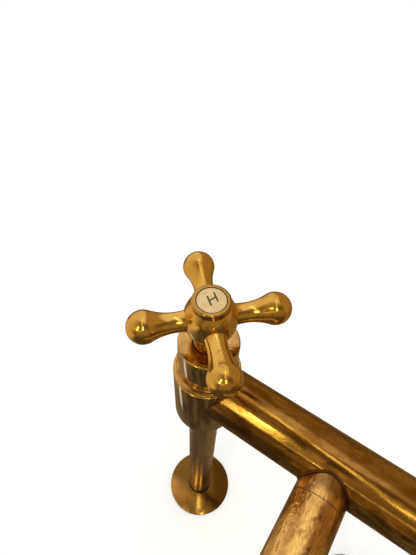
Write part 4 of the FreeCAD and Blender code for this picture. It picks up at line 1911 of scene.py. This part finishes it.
@dataclass
class Spout:
    """The fish-mouthed stub on the bridge, the bent spout, its solder ring and its nozzle."""

    shop: Workshop
    radius: float = 14.0
    wall: float = 1.2
    steps_round: int = 128
    passage: float = 11.55
    spigot: float = 12.75
    stub_reach: float = 24.5
    spigot_reach: float = 30.5
    stub_steps_round: int = 160
    mouth: float = 17.55
    mouth_edge: float = 0.45
    mouth_share: float = 0.3
    cut_edge: float = 0.15
    reach: float = 150.0
    bend: float = 40.0
    bend_steps: int = 48
    nozzle: float = 15.3
    nozzle_round: float = 0.9
    nozzle_overlap: float = 5.0
    nozzle_thread: float = 11.2
    nozzle_step: float = 1.4
    clearance: float = 0.05
    bead: float = 0.85
    ring_proud: float = 0.07
    ring_depth: float = 0.4
    ring_foot: float = 0.3
    ring_crest: float = 0.2
    ring_round: float = 0.06

    def build(self) -> None:
        """Makes the stub, the spout, the solder and the nozzle."""
        level = middle("bridge_tube", 2)
        self._stub("spout_stub", level)
        self._tube("spout_tube", level)
        self._solder("spout_stub", level)
        self._nozzle("spout_nozzle")

    def _stub(self, node: str, level: float) -> None:
        """Makes the stub with its mouth cut round the bridge.

        Args:
            node: The stub's node.
            level: The height of its axis.
        """
        edge, step = self.mouth_edge, self.mouth_edge * self.mouth_share

        def cut(out: float, angle: float) -> float:
            """How far along the stub its wall meets the bridge."""
            return math.sqrt(self.mouth**2 - (out * math.sin(angle)) ** 2)

        def outline_at(angle: float) -> Outline:
            """The wall's outline at an angle about the stub.

            Args:
                angle: The angle.

            Returns:
                The outline's points.
            """
            return [
                (self.passage, cut(self.passage, angle)),
                (self.radius - edge, cut(self.radius - edge, angle)),
                (self.radius - step, cut(self.radius, angle) + step),
                (self.radius, cut(self.radius, angle) + edge),
                (self.radius, self.stub_reach - self.cut_edge),
                (self.radius - self.cut_edge, self.stub_reach),
                (self.spigot, self.stub_reach),
                (self.spigot, self.spigot_reach),
                (self.passage, self.spigot_reach),
            ]

        centre = (0.0, 0.0, level)
        stub = Turning(outline_at, Axis.FORWARD, centre, steps=self.stub_steps_round)
        self.shop.stand_in(turned(f"{node}_dressed", stub), node, self.shop.beaten)

    def _tube(self, node: str, level: float) -> None:
        """Makes the bent tube.

        Args:
            node: The tube's node.
            level: The height of its run.
        """
        tube = self.shop.spout.bake(
            f"{node}_dressed",
            {
                "Finish": self.shop.finish_of(node),
                "Start": (0.0, -self.stub_reach * MM, level * MM),
                "Bend": (0.0, -self.reach * MM, level * MM),
                "End": (0.0, -self.reach * MM, low(node) * MM),
                "Bend radius": self.bend * MM,
                "Steps in the bend": self.bend_steps,
                "Tube radius": self.radius * MM,
                "Steps round the tube": self.steps_round,
            },
            wall=self.wall,
        )
        self.shop.stand_in(tube, node, self.shop.beaten)

    def _solder(self, node: str, level: float) -> None:
        """Makes the ring where stub and spout meet, and the bead in the stub's mouth.

        Args:
            node: The stub's node.
            level: The height of its axis.
        """
        foot, crest = self.radius - self.ring_depth, self.radius + self.ring_proud
        ring = [
            Corner(foot, self.stub_reach - self.ring_foot),
            Corner(crest, self.stub_reach - self.ring_crest, self.ring_round),
            Corner(crest, self.stub_reach + self.ring_crest, self.ring_round),
            Corner(foot, self.stub_reach + self.ring_foot),
        ]
        line = Turning.plain(ring, axis=Axis.FORWARD, centre=(0.0, 0.0, level))
        self.shop.add(turned("spout_solder_ring", line), node, self.shop.solder)
        self.shop.seal(
            "spout_mouth_seam",
            node,
            (self.radius, self.mouth, self.bead),
            (0.0, 0.0, level),
            across=Vector((0, 0, 1)),
            facing=Vector((0, -1, 0)),
        )

    def _nozzle(self, node: str) -> None:
        """Makes the collar on the spout's end.

        Args:
            node: The collar's node.
        """
        base, crown = low(node), high(node)
        ledge = crown - self.nozzle_overlap
        step = ledge - self.nozzle_step
        inner, hole = self.radius - self.wall, self.radius + self.clearance
        corners = [
            Corner(self.nozzle_thread, base, EASED),
            Corner(self.nozzle, base, self.nozzle_round),
            Corner(self.nozzle, crown, self.nozzle_round),
            Corner(hole, crown, CRISP),
            Corner(hole, ledge),
            Corner(inner, ledge),
            Corner(inner, step),
            Corner(self.nozzle_thread, step),
        ]
        form = Turning.plain(corners, centre=(0.0, -self.reach, 0.0))
        self.shop.stand_in(turned(f"{node}_dressed", form), node)


# The studio


@dataclass(frozen=True)
class Softbox:
    """A lamp seen from the tap in one direction: its size and distance are in metres."""

    azimuth_degrees: float
    elevation_degrees: float
    width: float
    height: float
    watts: float
    warmth: Colour
    distance: float = 1.3

    def hang(self, name: str, aim: Vector) -> None:
        """Hangs the lamp.

        Args:
            name: The lamp's name.
            aim: The point that it faces, in metres.
        """
        azimuth = math.radians(self.azimuth_degrees)
        elevation = math.radians(self.elevation_degrees)
        level = math.cos(elevation)
        way = Vector((math.cos(azimuth) * level, math.sin(azimuth) * level, math.sin(elevation)))
        lamp = bpy.data.lights.new(name, "AREA")
        lamp.shape = "RECTANGLE"
        lamp.size, lamp.size_y = self.width, self.height
        lamp.energy = self.watts
        lamp.color = self.warmth
        holder = bpy.data.objects.new(name, lamp)
        holder.location = aim + way * self.distance
        holder.rotation_euler = way.to_track_quat("Z", "Y").to_euler()
        bpy.context.scene.collection.objects.link(holder)


@dataclass(frozen=True)
class Floor:
    """A pale floor on the deck's plane, which the brass sees as the floor of a dim room.

    Lengths are in metres. A pair of lengths is where a soft step starts and where it ends.
    """

    half: float = 2.0
    pale: Colour = (0.96, 0.96, 0.955)
    lift: float = 0.12
    gloom: Colour = (0.066, 0.047, 0.027)
    haze: Colour = (0.140, 0.100, 0.056)
    haze_scale: float = 14.0
    left: Colour = (0.82, 0.59, 0.34)
    left_edge: Pair = (-0.15, -0.45)
    back: Colour = (0.2646, 0.1638, 0.063)
    back_edge: Pair = (-0.05, 0.10)
    pane: Colour = (1.00, 1.02, 1.15)
    pane_centre: Pair = (-0.204, -0.079)
    pane_turn_degrees: float = 40.0
    pane_half: Pair = (0.085, 0.011)
    pane_taper: float = 0.09
    pane_softness: float = 0.003
    pane_near_share: float = 0.5
    pane_far_share: float = 0.9

    def build(self) -> None:
        """Lays the floor."""
        form = bmesh.new()
        for x, y in ((-1, -1), (1, -1), (1, 1), (-1, 1)):
            form.verts.new((x * self.half, y * self.half, 0.0))
        form.faces.new(form.verts)
        mesh = bpy.data.meshes.new("floor")
        form.to_mesh(mesh)
        form.free()
        floor = placed("floor", mesh)
        floor.data.materials.append(self._material())

    def _material(self) -> Material:
        """Builds the floor's material: pale paint, and its look in reflections.

        Returns:
            The material.
        """
        material = bpy.data.materials.new("pale_floor")
        material.use_nodes = True
        tree = material.node_tree
        tree.nodes.clear()
        place = wire(tree, "ShaderNodeTexCoord").outputs["Object"]
        across = wire(tree, "ShaderNodeSeparateXYZ", {"Vector": place}).outputs
        shade = mixed(tree, clouds(tree, place, self.haze_scale), self.gloom, self.haze)
        shade = mixed(tree, stepped(tree, across["X"], *self.left_edge), shade, self.left)
        shade = mixed(tree, stepped(tree, across["Y"], *self.back_edge), shade, self.back)
        shade = mixed(tree, self._pane(tree, across["X"], across["Y"]), shade, self.pane)
        paint = (*self.pale, 1.0)
        glow = wire(tree, "ShaderNodeEmission", {"Color": shade}).outputs[0]
        matt = wire(tree, "ShaderNodeBsdfDiffuse", {"Color": paint}).outputs[0]
        lift = wire(tree, "ShaderNodeEmission", {"Color": paint, "Strength": self.lift}).outputs[0]
        lit = wire(tree, "ShaderNodeAddShader", {0: matt, 1: lift}).outputs[0]
        rays = wire(tree, "ShaderNodeLightPath").outputs
        seen = {0: rays["Is Camera Ray"], 1: matt, 2: lit}
        seen = wire(tree, "ShaderNodeMixShader", seen).outputs[0]
        surface = {0: rays["Is Glossy Ray"], 1: seen, 2: glow}
        surface = wire(tree, "ShaderNodeMixShader", surface).outputs[0]
        wire(tree, "ShaderNodeOutputMaterial", {"Surface": surface})
        return material

    def _pane(self, tree: Tree, x: Socket, y: Socket) -> Socket:
        """A patch of daylight on the floor, left of the tap.

        Args:
            tree: The node tree.
            x: The place along X.
            y: The place along Y.

        Returns:
            The patch's mask.
        """
        turn = math.radians(self.pane_turn_degrees)
        away = [maths(tree, "SUBTRACT", axis, at) for axis, at in zip((x, y), self.pane_centre)]
        along, across = (
            maths(
                tree,
                "MULTIPLY_ADD",
                away[1],
                math.sin(angle),
                maths(tree, "MULTIPLY", away[0], math.cos(angle)),
            )
            for angle in (turn, turn + math.pi / 2)
        )
        length, width = self.pane_half
        limit = maths(tree, "MULTIPLY_ADD", along, -self.pane_taper, width)
        over = maths(tree, "SUBTRACT", maths(tree, "ABSOLUTE", across), limit)
        sides = stepped(tree, over, self.pane_softness, -self.pane_softness)
        near = stepped(tree, along, self.pane_near_share * length, 0.0)
        far = stepped(tree, along, -length, -self.pane_far_share * length)
        return maths(tree, "MULTIPLY", sides, maths(tree, "MULTIPLY", near, far))


@dataclass(frozen=True)
class Room:
    """The world: pale to the eye, and to the brass a room with a bright and a dark half.

    A pair of numbers is where a soft step starts and ends, along the direction's X, Y or Z.
    """

    pale: Colour = (0.96, 0.96, 0.955)
    bright: Colour = (0.93, 0.74, 0.56)
    bright_way: Triple = (-1.0, -0.65, 0.5)
    bright_edge: Pair = (-0.04, 0.15)
    umber: Colour = (0.42, 0.26, 0.10)
    gloom: Colour = (0.34, 0.21, 0.080)
    deep_gloom: Colour = (0.17, 0.105, 0.040)
    gloom_scale: float = 2.2
    left: Colour = (0.82, 0.59, 0.34)
    left_edge: Pair = (0.0, -0.8)
    back_lean: float = -0.2
    back_edge: Pair = (-0.07, 0.07)
    line: Colour = (2.8, 2.4, 1.2)
    line_share: float = 0.6
    overhead_degrees: float = -56.0
    overhead_edge: Pair = (0.05, 0.03)
    overhead_height: Pair = (0.84, 0.94)
    level_height: float = 0.48
    level_edge: Pair = (0.03, 0.015)
    level_reach: Pair = (-0.72, -0.80)

    def build(self) -> None:
        """Fills the world."""
        world = bpy.data.worlds.new("studio")
        world.use_nodes = True
        tree = world.node_tree
        tree.nodes.clear()
        way = wire(tree, "ShaderNodeTexCoord").outputs["Generated"]
        x, y, z = wire(tree, "ShaderNodeSeparateXYZ", {"Vector": way}).outputs
        right, back, up = self.bright_way
        leftward = maths(tree, "MULTIPLY_ADD", x, right, maths(tree, "MULTIPLY", z, up))
        leftward = maths(tree, "MULTIPLY_ADD", y, back, leftward)
        share = stepped(tree, leftward, *self.bright_edge)
        behind = mixed(tree, share, self.umber, self.bright)
        front = mixed(tree, clouds(tree, way, self.gloom_scale), self.deep_gloom, self.gloom)
        front = mixed(tree, stepped(tree, x, *self.left_edge), front, self.left)
        backward = maths(tree, "MULTIPLY_ADD", x, self.back_lean, y)
        around = mixed(tree, stepped(tree, backward, *self.back_edge), front, behind)
        for line in self._lines(tree, x, y, z):
            around = mixed(tree, line, around, self.line)
        glossy = wire(tree, "ShaderNodeLightPath").outputs["Is Glossy Ray"]
        colour = mixed(tree, glossy, self.pale, around)
        sky = wire(tree, "ShaderNodeBackground", {"Color": colour}).outputs[0]
        wire(tree, "ShaderNodeOutputWorld", {"Surface": sky})
        bpy.context.scene.world = world

    def _lines(self, tree: Tree, x: Socket, y: Socket, z: Socket) -> list[Socket]:
        """Two narrow gaps of light: one overhead, front to back, and one level, in front.

        Args:
            tree: The node tree.
            x: The direction's X.
            y: The direction's Y.
            z: The direction's Z.

        Returns:
            Their masks.
        """
        turn = math.radians(self.overhead_degrees)
        across = maths(tree, "MULTIPLY", x, -math.sin(turn))
        across = maths(tree, "MULTIPLY_ADD", y, math.cos(turn), across)
        rise = maths(tree, "SUBTRACT", z, self.level_height)
        lines = []
        for place, edge, other, limits in (
            (across, self.overhead_edge, z, self.overhead_height),
            (rise, self.level_edge, y, self.level_reach),
        ):
            narrow = stepped(tree, maths(tree, "ABSOLUTE", place), *edge)
            line = maths(tree, "MULTIPLY", narrow, stepped(tree, other, *limits))
            lines.append(maths(tree, "MULTIPLY", line, self.line_share))
        return lines


@dataclass(frozen=True)
class Camera:
    """The photograph's view: its place, its direction and its lens, in metres and millimetres."""

    eye: Triple = (-0.0285, -0.0989, 0.5067)
    gaze: Triple = (-0.3332, 0.5343, -0.7768)
    roll_degrees: float = 2.9
    lens: float = 27.05
    sensor: float = 36.0
    nearest: float = 0.01

    def build(self) -> None:
        """Sets the camera where the photograph was taken."""
        gaze = Vector(self.gaze).normalized()
        level = gaze.cross(Vector((0, 0, 1))).normalized()
        down = gaze.cross(level)
        roll = math.radians(self.roll_degrees)
        right = level * math.cos(roll) - down * math.sin(roll)
        below = level * math.sin(roll) + down * math.cos(roll)
        lens = bpy.data.cameras.new("camera")
        lens.sensor_fit = "VERTICAL"
        lens.sensor_height = self.sensor
        lens.lens = self.lens
        lens.clip_start = self.nearest
        camera = bpy.data.objects.new("camera", lens)
        turn = Matrix((right, -below, -gaze)).transposed().to_4x4()
        camera.matrix_world = Matrix.Translation(self.eye) @ turn
        bpy.context.scene.collection.objects.link(camera)
        bpy.context.scene.camera = camera


@dataclass(frozen=True)
class Studio:
    """The floor, the room, the lamps and the camera round the tap."""

    aim: Triple = (-0.06, -0.02, 0.3)
    lamps: tuple[Softbox, ...] = (
        Softbox(-96.0, 41.0, 0.17, 0.60, 1.4, warmth=(1.0, 0.90, 0.42)),
        Softbox(-50.0, 49.0, 0.13, 0.46, 1.1, warmth=(1.0, 0.93, 0.50)),
    )

    def build(self) -> None:
        """Makes the floor, the room, the lamps and the camera."""
        bpy.context.scene.view_settings.view_transform = "Standard"
        Floor().build()
        Room().build()
        for number, lamp in enumerate(self.lamps, start=1):
            lamp.hang(f"lamp_{number}", Vector(self.aim))
        Camera().build()


def main() -> None:
    """Builds the tap from the deck up, then its studio."""
    logging.basicConfig(level=logging.INFO, format="%(message)s")
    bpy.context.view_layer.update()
    shop = Workshop()
    assemblies = (DeckFixings, LegAndRose, ValveBody, Shroud, Spindle, CrossHandle, IndexTop)
    for side in Side:
        for assembly in assemblies:
            assembly(side, shop).build()
    Bridge(shop).build()
    Spout(shop).build()
    shop.coat_the_rest()
    Studio().build()


if __name__ == "__main__":
    main()
